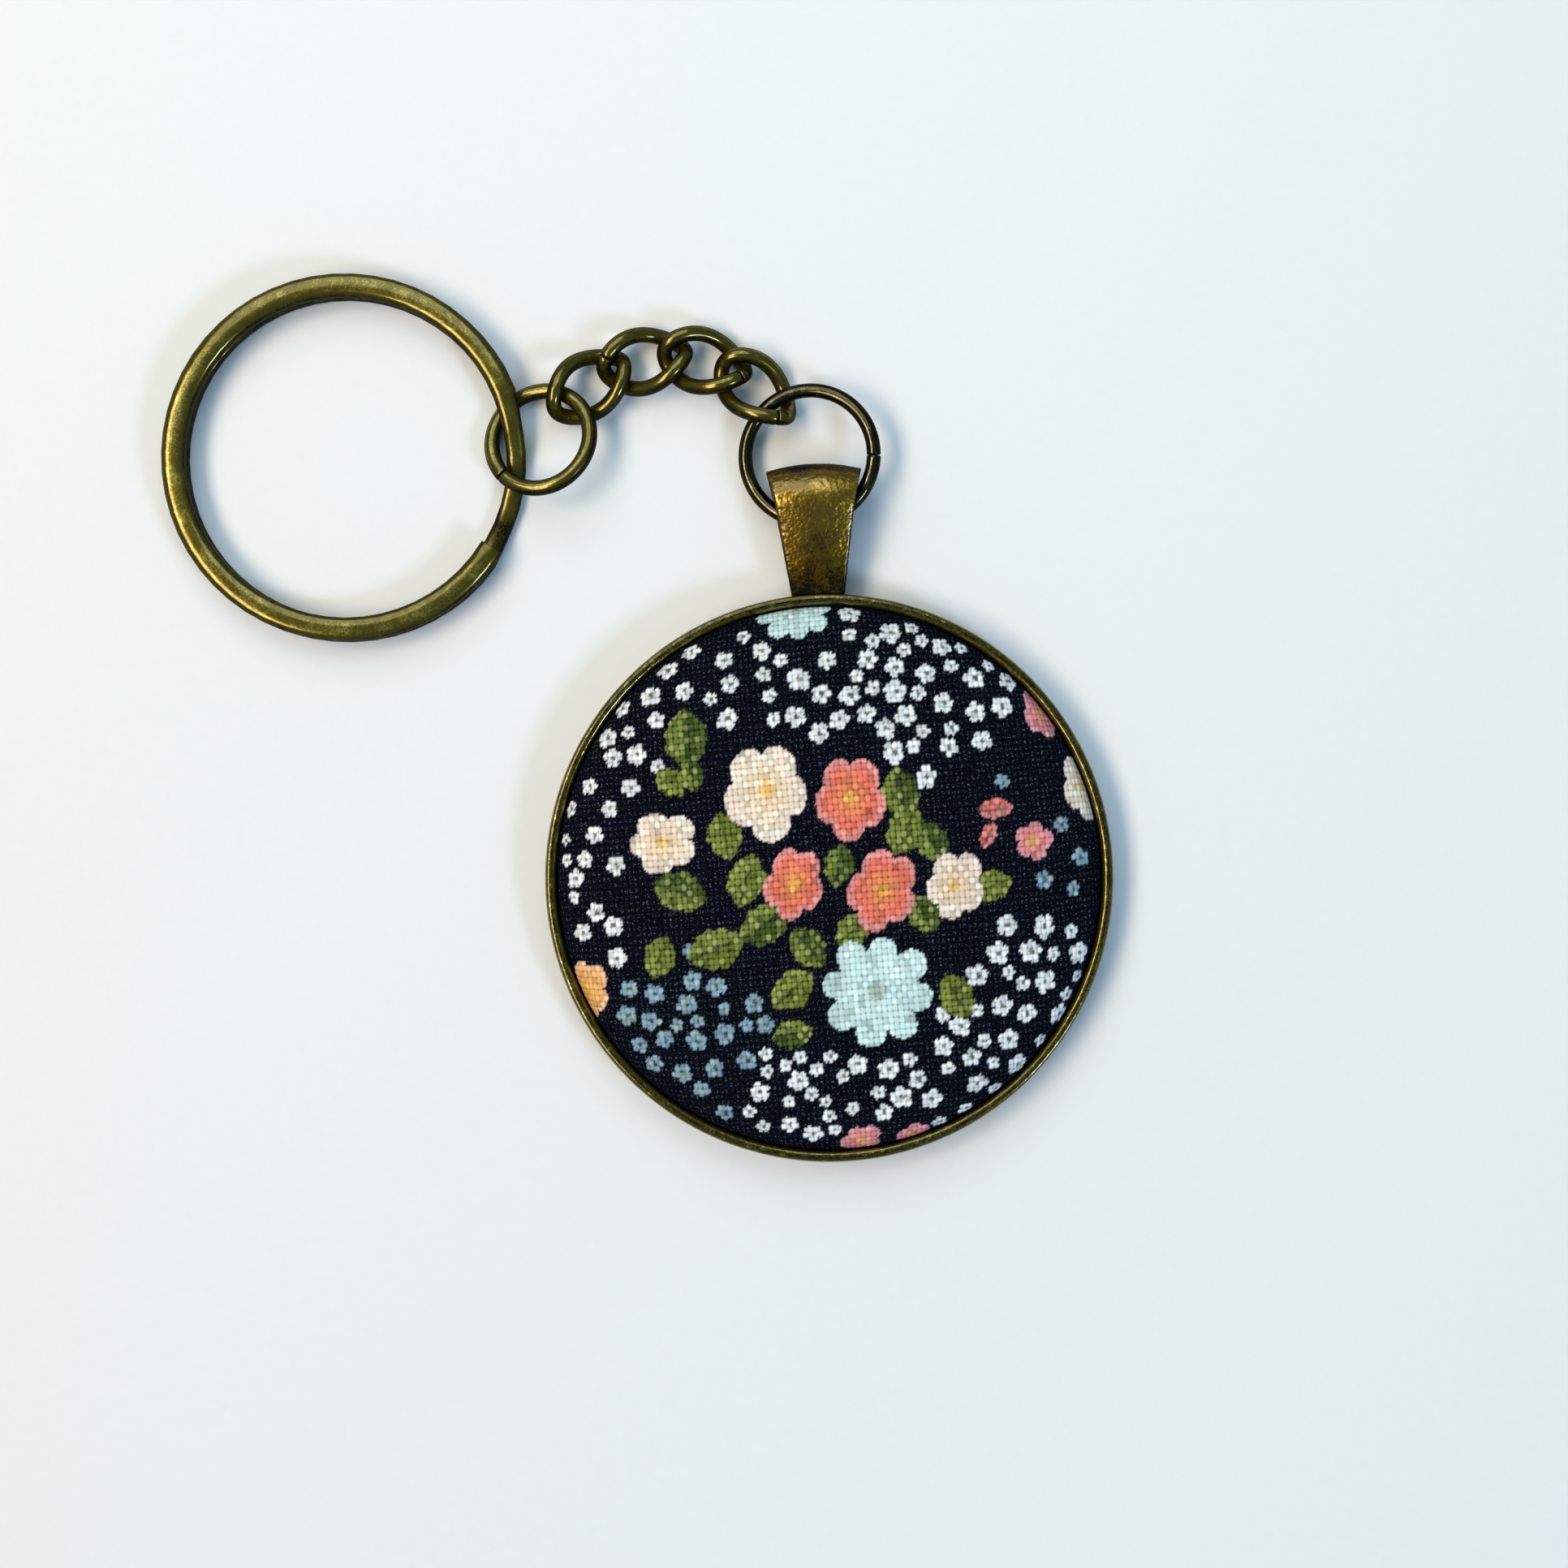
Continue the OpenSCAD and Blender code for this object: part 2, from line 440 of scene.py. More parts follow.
@dataclass(frozen=True)
class AgedBronze:
    """Bronze plate that was blackened, rubbed back and lacquered: dark where it wasn't rubbed and where the
    wear attribute holds painted shade.

    Attributes:
        name: The material's name.
        patina: Colour where nothing is rubbed off, also used for the painted shade on upright faces.
        bronze: Colour where the dark finish is partly rubbed off.
        rubbed: Colour where it is rubbed most.
        green: Colour of the tarnish on rubbed places.
        blotch: Size of the uneven patches in millimetres.
        mottle: How far the patches shift the wear.
        verdigris: How much of the tarnish shows.
        roughness: Roughness of the bare metal.
        lacquer: Roughness of the clear lacquer.
        gloss: How much lacquer is left on rubbed places.
        depth: The lacquer's index of refraction.
        bare: How metallic rubbed places are.
        dent: Size of the dents in millimetres, or 0 for none.
        dent_depth: Depth of the dents in millimetres.
        tint: Colour of the shine on dark places.
    """

    name: str
    patina: Colour = from_screen(12, 9, 4)
    bronze: Colour = from_screen(102, 88, 14)
    rubbed: Colour = from_screen(188, 174, 86)
    green: Colour = from_screen(44, 50, 5)
    blotch: float = 1.6
    mottle: float = 0.7
    verdigris: float = 0.5
    roughness: float = 0.2
    lacquer: float = 0.05
    gloss: float = 0.5
    depth: float = 1.6
    bare: float = 0.75
    dent: float = 0.0
    dent_depth: float = 0.03
    tint: Colour = (0.45, 0.4, 0.3)

    def build(self) -> bpy.types.Material:
        """Builds the material.

        Returns:
            The material, which reads the piece's wear attribute: rubbed wear, with painted shade on the
            wires' upright faces.
        """
        graph = Graph(self.name)
        wear = graph.attribute("wear")
        blotches = graph.noise(self.blotch, 4, 0.65)
        grain = graph.noise(0.14, 3, 0.75)
        scuffs = graph.noise(0.45, 4, 0.7)
        shift = graph.math("MULTIPLY", graph.math("SUBTRACT", blotches, 0.5), self.mottle)
        speck = graph.math("MULTIPLY", graph.math("SUBTRACT", grain, 0.5), 0.75)
        # rubbed wear mixed with the painted shade that the wear attribute holds on the wires; the colour
        # below follows it
        worn_and_shaded = graph.math("ADD", graph.math("ADD", wear, shift), speck, clamp=True)
        colour = graph.mix(graph.span(worn_and_shaded, 0.1, 0.6, 0, 1), self.patina, self.bronze)
        tarnish = graph.math("MULTIPLY", graph.span(scuffs, 0.45, 0.7, 0, 1), self.verdigris)
        colour = graph.mix(tarnish, colour, graph.mix(wear, self.patina, self.green))
        colour = graph.mix(graph.span(worn_and_shaded, 0.7, 1, 0, 0.7), colour, self.rubbed)
        matte = graph.span(wear, 0.1, 0.45, 0.34, 0)
        scuffed = graph.span(scuffs, 0.3, 0.7, self.roughness - 0.06, self.roughness + 0.08)
        graph.set(Base_Color=colour, Metallic=graph.span(wear, 0.08, 0.3, 0.2, self.bare),
                  Roughness=graph.math("ADD", scuffed, matte, clamp=True),
                  Coat_Weight=graph.span(wear, 0.2, 0.6, 0.02, self.gloss),
                  Coat_Roughness=self.lacquer, Coat_IOR=self.depth, Specular_IOR_Level=0.25)
        graph.shader.inputs["Specular Tint"].default_value = (*self.tint, 1)
        graph.bump(grain, 0.01, 0.18)
        graph.bump(scuffs, 0.02, 0.2)
        if self.dent:
            graph.bump(graph.dents(self.dent), self.dent_depth, 1.0)
        return graph.material


@dataclass(frozen=True)
class PressedMetal:
    """Plain pressed aluminium with faint drawing marks."""

    name: str = "pressed_aluminium"
    colour: Colour = from_screen(205, 206, 208)
    marked: Colour = from_screen(170, 172, 176)

    def build(self) -> bpy.types.Material:
        """Builds the material.

        Returns:
            The material.
        """
        graph = Graph(self.name)
        marks = graph.noise(0.3, 4, 0.7)
        graph.set(Base_Color=graph.mix(marks, self.colour, self.marked),
                  Metallic=1.0, Roughness=graph.span(marks, 0.3, 0.7, 0.28, 0.42))
        graph.bump(marks, 0.01, 0.3)
        return graph.material


@dataclass(frozen=True)
class CuredGlue:
    """Clear glue with a few cloudy places."""

    name: str = "cured_glue"
    clear: Colour = from_screen(232, 230, 218)
    cloudy: Colour = from_screen(214, 212, 200)

    def build(self) -> bpy.types.Material:
        """Builds the material.

        Returns:
            The material.
        """
        graph = Graph(self.name)
        cloud = graph.noise(2.5)
        graph.set(Base_Color=graph.mix(cloud, self.clear, self.cloudy),
                  Roughness=graph.span(cloud, 0.3, 0.7, 0.15, 0.35), IOR=1.48)
        graph.bump(cloud, 0.05, 0.3)
        return graph.material


@dataclass(frozen=True)
class PrintedCotton:
    """Plain-weave cotton: warp over weft in one cell, weft over warp in the next.

    Attributes:
        name: The material's name.
        thread_width: Width of a thread as a share of its pitch.
        wave: How far a thread rises and dips as it crosses the others.
        round: How round a thread is.
        unprinted_gap_shade: Near-black painted shade in the gaps between unprinted threads.
        fibre: Colour of the loose fibres on top, which also serve as painted glints on the thread crowns.
        shade: What the dye is multiplied by between inked threads, as painted shade in the gaps.
        sheen: Colour of the sheen.
    """

    name: str = "printed_cotton"
    thread_width: float = 0.96
    wave: float = 0.5
    round: float = 0.6
    unprinted_gap_shade: Colour = from_screen(4, 8, 6)
    fibre: Colour = from_screen(102, 114, 126)
    shade: Colour = (0.5, 0.43, 0.36)
    sheen: Colour = (0.35, 0.62, 1.0)

    def thread(self, graph: Graph, along: Socket, across: Socket, sign: Socket) -> Socket:
        """Gives the height of one set of threads.

        Args:
            graph: The material's nodes.
            along: Place within the cell along the thread, -0.5 to 0.5.
            across: Place within the cell across the thread, -0.5 to 0.5.
            sign: 1 where this set lies on top, -1 where it lies below.

        Returns:
            The height, about -1.1 to 0.5.
        """
        swing = graph.math("COSINE", graph.math("MULTIPLY", along, math.pi))
        rise = graph.math("MULTIPLY", graph.math("MULTIPLY", swing, sign), self.wave)
        side = graph.math("POWER", graph.math("MULTIPLY", across, 2 / self.thread_width), 2.0)
        crown = graph.math("SQRT", graph.math("MAXIMUM", graph.math("SUBTRACT", 1.0, side), 0.0))
        return graph.math("ADD", rise, graph.math("MULTIPLY", graph.math("SUBTRACT", crown, 1.0), self.round))

    def build(self) -> bpy.types.Material:
        """Builds the material.

        Returns:
            The material, which reads the piece's "threads" UV map and "print" colours.
        """
        graph = Graph(self.name)
        counts = graph.node("ShaderNodeSeparateXYZ")
        threads = graph.node("ShaderNodeUVMap", uv_map="threads")
        graph.join(threads.outputs["UV"], counts.inputs[0])
        warp_place, weft_place = counts.outputs[0], counts.outputs[1]
        in_warp = graph.math("SUBTRACT", graph.math("FRACT", warp_place), 0.5)
        in_weft = graph.math("SUBTRACT", graph.math("FRACT", weft_place), 0.5)
        cell = graph.math("ADD", graph.math("FLOOR", warp_place), graph.math("FLOOR", weft_place))
        odd = graph.math("FLOORED_MODULO", cell, 2.0)
        warp_over = graph.math("SUBTRACT", 1.0, graph.math("MULTIPLY", odd, 2.0))
        weft_over = graph.math("MULTIPLY", warp_over, -1.0)
        warp = self.thread(graph, in_weft, in_warp, warp_over)
        weft = self.thread(graph, in_warp, in_weft, weft_over)
        height = graph.math("MAXIMUM", warp, weft)
        fuzz = graph.noise(0.07, 3, 0.7)
        flecks_and_glints = graph.span(graph.noise(0.11, 2, 0.6), 0.55, 0.66, 0, 0.95)
        dye = graph.attribute("print", "Color")
        ink = graph.attribute("print", "Alpha")
        uneven = graph.math("MULTIPLY", graph.math("SUBTRACT", graph.noise(0.3, 2, 0.6), 0.5), 1.1)
        # painted shade: the gaps between threads go near black where no ink lies and take the dye times the
        # shade colour where it does
        rise = graph.span(graph.math("ADD", height, uneven), -0.5, 0.38, 0, 1)
        gap_shade = graph.mix(1.0, dye, self.shade, Blend.MULTIPLY)
        gap_shade = graph.mix(ink, self.unprinted_gap_shade, gap_shade)
        colour = graph.mix(rise, gap_shade, dye)
        # pale flecks on the thread crowns: partly loose pale fibres, partly painted glints
        crown = graph.math("MULTIPLY", graph.span(height, 0.1, 0.45, 0, 1), flecks_and_glints)
        colour = graph.mix(graph.math("MULTIPLY", crown, 0.75), colour, self.fibre, Blend.SCREEN)
        graph.set(Base_Color=colour, Roughness=graph.span(fuzz, 0.3, 0.7, 0.75, 0.92),
                  Specular_IOR_Level=0.03, Sheen_Weight=0.012, Sheen_Roughness=0.35)
        graph.shader.inputs["Sheen Tint"].default_value = (*self.sheen, 1)
        graph.bump(height, 0.06, 0.6)
        graph.bump(fuzz, 0.012, 0.3)
        return graph.material


@dataclass(frozen=True)
class PaperFloor:
    """A plain sheet of pale card."""

    name: str = "pale_card"
    colour: Colour = from_screen(240, 240, 240)
    fibre: Colour = from_screen(236, 236, 236)

    def build(self) -> bpy.types.Material:
        """Builds the material.

        Returns:
            The material.
        """
        graph = Graph(self.name)
        pulp = graph.noise(0.8, 4, 0.6)
        graph.set(Base_Color=graph.mix(pulp, self.colour, self.fibre),
                  Roughness=graph.span(pulp, 0.3, 0.7, 0.75, 0.9), Specular_IOR_Level=0.2)
        graph.bump(pulp, 0.02, 0.2)
        return graph.material


# ---------------------------------------------------------------------------------------------
# Wire pieces
# ---------------------------------------------------------------------------------------------


@dataclass(frozen=True)
class Pose:
    """Where a loose piece lies: millimetres and degrees, turned about X, then Y, then Z."""

    x: float
    y: float
    z: float
    roll: float
    pitch: float
    yaw: float

    def matrix(self) -> Matrix:
        """Gives the pose as a matrix, in millimetres."""
        turn = Euler([math.radians(angle) for angle in (self.roll, self.pitch, self.yaw)], "XYZ")
        return Matrix.Translation((self.x, self.y, self.z)) @ turn.to_matrix().to_4x4()


def ease(value: float) -> float:
    """Eases from 0 to 1 as the value goes from 0 to 1."""
    held = min(max(value, 0), 1)
    return held * held * (3 - 2 * held)


class Twist(Enum):
    """How a wire's section turns as the wire is bent."""

    UPRIGHT = "Z_UP"
    LEAST = "MINIMUM"


@dataclass
class WirePiece:
    """A piece cut from straight wire, bent along a line and laid in its pose.

    Attributes:
        node: The node that the piece stands for.
        body: The body that it moves with.
        pose: Where it lies.
        finish: Its finish.
        slot: The record's material slot.
        wire: Diameter of the wire in millimetres.
        sides: Sides of the wire's section.
        cuts: Cuts along the wire.
        end_bevel: Bevel at the wire's ends in millimetres.
        twist: How the section turns.
        upright_wear_and_shade: Wear on faces that stand upright, kept low so that they stay dark as painted
            shade.
        top_wear: Wear that is added on faces that lie flat.
        top_power: How quickly the wear fades towards the upright faces.
    """

    node: str
    body: str
    pose: Pose
    finish: AgedBronze
    slot: str = "antique_bronze"
    wire: float = 1.1
    sides: int = 28
    cuts: int = 180
    end_bevel: float = 0.08
    twist: Twist = Twist.UPRIGHT
    upright_wear_and_shade: float = 0.02
    top_wear: float = 0.74
    top_power: float = 2.2

    def line(self) -> list[tuple[Vector, float]]:
        """Gives the wire's centre line as points, each with the wire's share of full thickness."""
        raise NotImplementedError

    def blank(self, length: float) -> bpy.types.Object:
        """Cuts a straight length of round wire with softened ends.

        Args:
            length: The wire's length in millimetres.

        Returns:
            The wire, along +X from the origin.
        """
        bpy.ops.mesh.primitive_cylinder_add(vertices=self.sides, radius=self.wire / 2, depth=length,
                                            rotation=(0, math.pi / 2, 0), location=(length / 2, 0, 0))
        return bpy.context.object

    def soften_ends(self, wire: bpy.types.Object, length: float) -> None:
        """Bevels the rim at each end of a straight wire and cuts its length into short steps.

        Args:
            wire: The straight wire, along +X from the origin.
            length: Its length in millimetres.
        """
        bpy.ops.object.transform_apply(location=True, rotation=True, scale=True)
        with Bench.editing(wire, Element.EDGE):
            places = [vertex.co.x for vertex in wire.data.vertices]

            def at_end(edge: bpy.types.MeshEdge) -> bool:
                """Says whether an edge lies in one of the wire's ends."""
                first, second = (places[index] for index in edge.vertices)
                return abs(first - second) < 0.01

            Bench.select(wire, Element.EDGE, at_end)
            bpy.ops.mesh.bevel(offset=self.end_bevel, segments=3, affect="EDGES")
            bpy.ops.object.mode_set(mode="OBJECT")
            spots = [vertex.co.x for vertex in wire.data.vertices]
            bpy.ops.object.mode_set(mode="EDIT")

            def runs_along(edge: bpy.types.MeshEdge) -> bool:
                """Says whether an edge runs the length of the wire."""
                first, second = (spots[index] for index in edge.vertices)
                return abs(first - second) > length / 2

            Bench.select(wire, Element.EDGE, runs_along)
            bpy.ops.mesh.subdivide(number_cuts=self.cuts)

    def bend(self, wire: bpy.types.Object, line: Sequence[tuple[Vector, float]]) -> None:
        """Bends a straight wire along a line.

        Args:
            wire: The straight wire.
            line: Points of the centre line, each with a share of full thickness.
        """
        data = bpy.data.curves.new(f"{self.node}_line", "CURVE")
        data.dimensions = "3D"
        data.twist_mode = self.twist.value
        data.use_stretch = True
        data.use_deform_bounds = True
        data.use_radius = True
        spline = data.splines.new("POLY")
        spline.points.add(len(line) - 1)
        for point, (place, share) in zip(spline.points, line):
            point.co = (*place, 1)
            point.radius = share
        guide = bpy.data.objects.new(f"{self.node}_guide", data)
        bpy.context.collection.objects.link(guide)
        Bench.apply(wire, "CURVE", object=guide, deform_axis="POS_X")
        bpy.data.objects.remove(guide)

    def rub(self, wire: bpy.types.Object) -> None:
        """Marks how much of the dark finish is rubbed off: most on the flat of the ring, while the upright
        sides stay dark as painted shade.
        """
        facing = np.abs(Bench.normals(wire)[:, 2])
        # rubbed wear on the flat faces; the upright sides stay dark as painted shade
        Bench.paint(wire, "wear", self.upright_wear_and_shade + self.top_wear * facing ** self.top_power)

    def build(self) -> bpy.types.Object:
        """Makes the piece and hands it to the frame.

        Returns:
            The finished piece.
        """
        line = self.line()
        length = sum((b[0] - a[0]).length for a, b in zip(line, line[1:]))
        Bench.clear()
        wire = self.blank(length)
        self.soften_ends(wire, length)
        self.bend(wire, line)
        self.rub(wire)
        Bench.set_down(wire, self.node + "_wire", self.pose.matrix(), 50)
        Bench.dress(wire, self.finish.build())
        Bench.fit(wire, self.body, self.slot, self.node)
        return wire


@dataclass
class JumpRing(WirePiece):
    """A round ring with a butt joint whose ends don't quite meet.

    Attributes:
        outer: Outer diameter in millimetres.
        seam: The joint's bearing in degrees.
        joint: Width of the joint in degrees.
        step: How much higher one end is than the other, in millimetres.
    """

    outer: float = 8.4
    seam: float = 0.0
    joint: float = 1.6
    step: float = 0.07

    def line(self) -> list[tuple[Vector, float]]:
        """Gives the ring's circle, with one end a little higher than the other.

        Returns:
            Points of the centre line, each with a share of full thickness.
        """
        radius = (self.outer - self.wire) / 2
        points = []
        for index in range(self.cuts + 1):
            along = index / self.cuts
            angle = math.radians(self.seam + self.joint / 2 + (360 - self.joint) * along)
            lift = self.step * (ease(1 - along * 9) - ease(1 - (1 - along) * 9)) / 2
            points.append((Vector((radius * math.cos(angle), radius * math.sin(angle), lift)), 1.0))
        return points


@dataclass
class CurbLink(WirePiece):
    """An oval link twisted about its long axis so that the chain lies flat.

    Attributes:
        length: Outer length in millimetres.
        width: Outer width in millimetres.
        turn: How far each end is turned about the long axis, in degrees.
        seam: The joint's bearing in degrees.
        joint: Width of the joint in degrees.
        step: How far the ends are sprung apart in millimetres.
    """

    length: float = 7.0
    width: float = 4.9
    turn: float = 45.0
    seam: float = 0.0
    joint: float = 2.4
    step: float = 0.04
    wire: float = 1.09
    twist: Twist = Twist.LEAST

    def spot(self, angle: float) -> Vector:
        """Gives one point of the centre line.

        Args:
            angle: Its angle round the link, in radians.

        Returns:
            The point, in millimetres.
        """
        long_half = (self.length - self.wire) / 2
        side_half = (self.width - self.wire) / 2
        turn = -math.radians(self.turn) * math.cos(angle)
        across = side_half * math.sin(angle)
        return Vector((long_half * math.cos(angle), across * math.cos(turn), across * math.sin(turn)))

    def line(self) -> list[tuple[Vector, float]]:
        """Gives the twisted oval, with its cut ends sprung slightly apart.

        Returns:
            Points of the centre line, each with a share of full thickness.
        """
        steps = 200
        points = []
        for index in range(steps + 1):
            along = index / steps
            angle = math.radians(self.seam + self.joint / 2 + (360 - self.joint) * along)
            spread = self.step * (ease(1 - along * 8) - ease(1 - (1 - along) * 8)) / 2
            points.append((self.spot(angle) + Vector((0, 0, spread)), 1.0))
        return points


@dataclass
class KeyRing(WirePiece):
    """The split ring: two coils of flat-sided wire with a joggle between them.

    Attributes:
        outer: Outer diameter in millimetres.
        height: Height of the wire's section in millimetres.
        gap: Space between the coils in millimetres.
        lower_start: Bearing of the lower coil's cut end in degrees.
        joggle: Bearings between which the wire climbs to the upper coil.
        upper_cut: Bearing of the upper coil's cut end in degrees.
        thinning: How much of its width the wire loses where it passes the cut end.
        squareness: Power that turns a round section into an oblong one.
        shadow: Bearings past the cut, its middle and half width, where the wire is darkened as a painted
            shadow of the cut end.
        shadow_share: How much of the wear the painted shadow takes away there.
        side_shade_share: How much of the wear is left on upright faces, darkening them further as painted
            shade.
    """

    outer: float = 26.0
    wire: float = 1.7
    height: float = 1.15
    gap: float = 0.06
    lower_start: float = 22.0
    joggle: tuple[float, float] = (346.0, 370.0)
    upper_cut: float = 320.5
    thinning: float = 0.19
    cuts: int = 420
    sides: int = 36
    squareness: float = 2 / 2.6
    end_bevel: float = 0.05
    top_power: float = 2.0
    shadow: tuple[float, float] = (6.0, 6.5)
    shadow_share: float = 0.85
    side_shade_share: float = 0.5

    def blank(self, length: float) -> bpy.types.Object:
        """Cuts a straight length of wire with an oblong, well-rounded section.

        Args:
            length: The wire's length in millimetres.

        Returns:
            The wire, along +X from the origin.
        """
        wire = super().blank(length)
        bpy.ops.object.transform_apply(location=True, rotation=True, scale=True)
        places = Bench.points(wire)
        unit = places[:, 1:] / (self.wire / 2)
        squared = np.sign(unit) * np.abs(unit) ** self.squareness
        places[:, 1] = squared[:, 0] * self.wire / 2
        places[:, 2] = (squared[:, 1] + 1) * self.height / 2
        Bench.move(wire, places)
        return wire

    def rub(self, wire: bpy.types.Object) -> None:
        """Marks the rubbed top, paints the cut end's shadow on the wire beside the cut and paints shade on
        the upright faces.

        Args:
            wire: The bent wire.
        """
        places, normals = Bench.points(wire), Bench.normals(wire)
        bearing = np.degrees(np.arctan2(places[:, 1], places[:, 0])) % 360
        # painted shadow of the cut end: less wear, so a darker finish, on the wire just past the cut
        cut_shadow = np.exp(-((bearing - self.upper_cut - self.shadow[0]) / self.shadow[1]) ** 2)
        facing = np.abs(normals[:, 2])
        wear = self.upright_wear_and_shade + self.top_wear * facing ** self.top_power
        wear = wear * (1 - self.shadow_share * cut_shadow)
        # painted shade: upright faces, such as the ring's inner wall, keep only part of their wear and turn
        # near black
        Bench.paint(wire, "wear", wear * np.where(facing < 0.3, self.side_shade_share, 1))

    def line(self) -> list[tuple[Vector, float]]:
        """Gives the two turns: flat, up through the joggle, and flat again.

        Returns:
            Points of the centre line, each with a share of full thickness.
        """
        steps = 700
        start, end = self.joggle
        total = self.upper_cut + 360 - self.lower_start
        points = []
        for index in range(steps + 1):
            degrees = self.lower_start + total * index / steps
            slim = ease((degrees - self.upper_cut + 8) / 14) * (1 - ease((degrees - 362) / 14))
            share = 1 - self.thinning * slim
            radius = self.outer / 2 - self.wire + self.wire * share / 2
            lift = (self.height + self.gap) * ease((degrees - start) / (end - start))
            angle = math.radians(degrees)
            points.append((Vector((radius * math.cos(angle), radius * math.sin(angle), lift)), share))
        return points


# ---------------------------------------------------------------------------------------------
# The bail and the tray
# ---------------------------------------------------------------------------------------------


@dataclass
class Bail:
    """A tapered strip folded into a loop, finely hammered, with its root on the tray.

    Attributes:
        finish: Its finish.
        body: The body that it moves with.
        top: Y of the loop's top in millimetres.
        tray_radius: Radius of the tray that the root meets.
        root_width: Half width at the root.
        flare: How the half width grows to the top, evenly and with the square.
        loop_radius: Outer radius of the loop, seen from the side.
        root_radius: Outer radius of the fold at the root.
        root: Centre (y, z) of the fold at the root.
        strip: Thickness of the strip.
        slot_root: Centre (y, z) of the opening's lower end.
        slot_root_radius: Radius of the opening's lower end.
        arch: How far the top's corners drop.
        crown: How far the front's edges drop.
        voxel: Size of the mesh's cells.
        hammer_size: Size of the hammer's marks.
        hammer_depth: Depth of the hammer's marks.
    """

    finish: AgedBronze
    body: str = "pendant"
    top: float = 29.2
    tray_radius: float = 20.0
    root_width: float = 1.87
    loop_radius: float = 2.4
    root_radius: float = 1.3
    root: tuple[float, float] = (20.6, 1.5)
    strip: float = 0.7
    slot_root: tuple[float, float] = (22.6, 1.8)
    slot_root_radius: float = 0.75
    arch: float = 0.45
    crown: float = 0.35
    voxel: float = 0.09
    flare: tuple[float, float] = (0.75, 0.75)
    hammer_size: float = 0.3
    hammer_depth: float = 0.045

    def half_width(self, height: np.ndarray) -> np.ndarray:
        """Gives the half width at each height: it flares towards the top."""
        share = (height - self.tray_radius) / (self.top - self.tray_radius)
        return self.root_width + self.flare[0] * share + self.flare[1] * share ** 2

    def side_line(self, big: float, end: tuple[float, float], small: float) -> list[tuple[float, float]]:
        """Gives the side outline that wraps the loop's circle and a smaller one near the root.

        Args:
            big: Radius of the upper circle.
            end: Centre of the lower circle, as (y, z).
            small: Radius of the lower circle.

        Returns:
            Points (y, z) around the outline.
        """
        centre = (self.top - self.loop_radius, self.loop_radius)
        away = (end[0] - centre[0], end[1] - centre[1])
        turn = math.atan2(away[1], away[0])
        lean = math.acos((big - small) / math.hypot(*away))
        upper = [(centre, big, turn + lean + (2 * math.pi - 2 * lean) * step / 44) for step in range(45)]
        lower = [(end, small, turn - lean + 2 * lean * step / 14) for step in range(15)]
        return [(c[0] + r * math.cos(a), c[1] + r * math.sin(a)) for c, r, a in upper + lower]

    def block(self, outline: Sequence[tuple[float, float]], half: float) -> bpy.types.Object:
        """Extrudes a side outline across the bail.

        Args:
            outline: Points (y, z) around the outline.
            half: Half of the width to extrude to.

        Returns:
            A closed block.
        """
        Bench.clear()
        bpy.ops.mesh.primitive_circle_add(vertices=len(outline), radius=1, fill_type="NGON")
        block = bpy.context.object
        Bench.move(block, np.array([(-half, y, z) for y, z in outline]))
        with Bench.editing(block, Element.FACE):
            bpy.ops.mesh.select_all(action="SELECT")
            bpy.ops.mesh.extrude_region_move(TRANSFORM_OT_translate={"value": (2 * half, 0, 0)})
            bpy.ops.mesh.select_all(action="SELECT")
            bpy.ops.mesh.normals_make_consistent(inside=False)
        return block

    def build(self) -> bpy.types.Object:
        """Makes the bail and hands it to the frame.

        Returns:
            The finished bail.
        """
        solid = self.block(self.side_line(self.loop_radius, self.root, self.root_radius), 1)
        slot = self.block(self.side_line(self.loop_radius - self.strip, self.slot_root,
                                         self.slot_root_radius), 2)
        Bench.apply(solid, "BOOLEAN", object=slot, operation="DIFFERENCE", solver="EXACT")
        bpy.data.objects.remove(slot)
        Bench.clear()
        bpy.ops.mesh.primitive_cylinder_add(vertices=180, radius=self.tray_radius, depth=12)
        cutter = bpy.context.object
        places = Bench.points(solid)
        places[:, 0] *= self.half_width(places[:, 1])
        Bench.move(solid, places)
        Bench.apply(solid, "BOOLEAN", object=cutter, operation="DIFFERENCE", solver="EXACT")
        bpy.data.objects.remove(cutter)
        Bench.apply(solid, "REMESH", mode="VOXEL", voxel_size=self.voxel)
        places = Bench.points(solid)
        share = np.clip((places[:, 1] - self.tray_radius) / (self.top - self.tray_radius), 0, 1)
        beside = (places[:, 0] / self.half_width(places[:, 1])) ** 2
        places[:, 1] -= self.arch * share ** 3 * beside
        places[:, 2] -= self.crown * beside * np.clip(places[:, 2] / (2 * self.loop_radius), 0, 1) ** 2
        Bench.move(solid, places)
        Bench.apply(solid, "SMOOTH", factor=0.5, iterations=5)
        hammer = bpy.data.textures.new("hammer_marks", "CLOUDS")
        hammer.noise_scale = self.hammer_size
        hammer.noise_depth = 1
        Bench.apply(solid, "DISPLACE", texture=hammer, texture_coords="LOCAL",
                    strength=self.hammer_depth, mid_level=0.5)
        facing = np.clip(Bench.normals(solid)[:, 2], 0, 1)
        places = Bench.points(solid)
        share = np.clip((places[:, 1] - self.tray_radius) / (self.top - self.tray_radius), 0, 1)
        # rubbed wear on the up-facing crests, with painted shade that darkens the sides, the strip towards
        # its root and its top edge
        rubbed = (0.1 + 0.75 * facing ** 2) * (0.4 + 1.2 * Bench.crests(solid, 0.012, 3))
        lip = 1 - 0.6 * np.clip(share * 7 - 6, 0, 1)
        Bench.paint(solid, "wear", rubbed * lip * (0.12 + 0.98 * share ** 0.8))
        Bench.set_down(solid, "folded_bail", Matrix(), 60)
        Bench.dress(solid, self.finish.build())
        Bench.fit(solid, self.body, "hammered_bronze", "bail")
        return solid


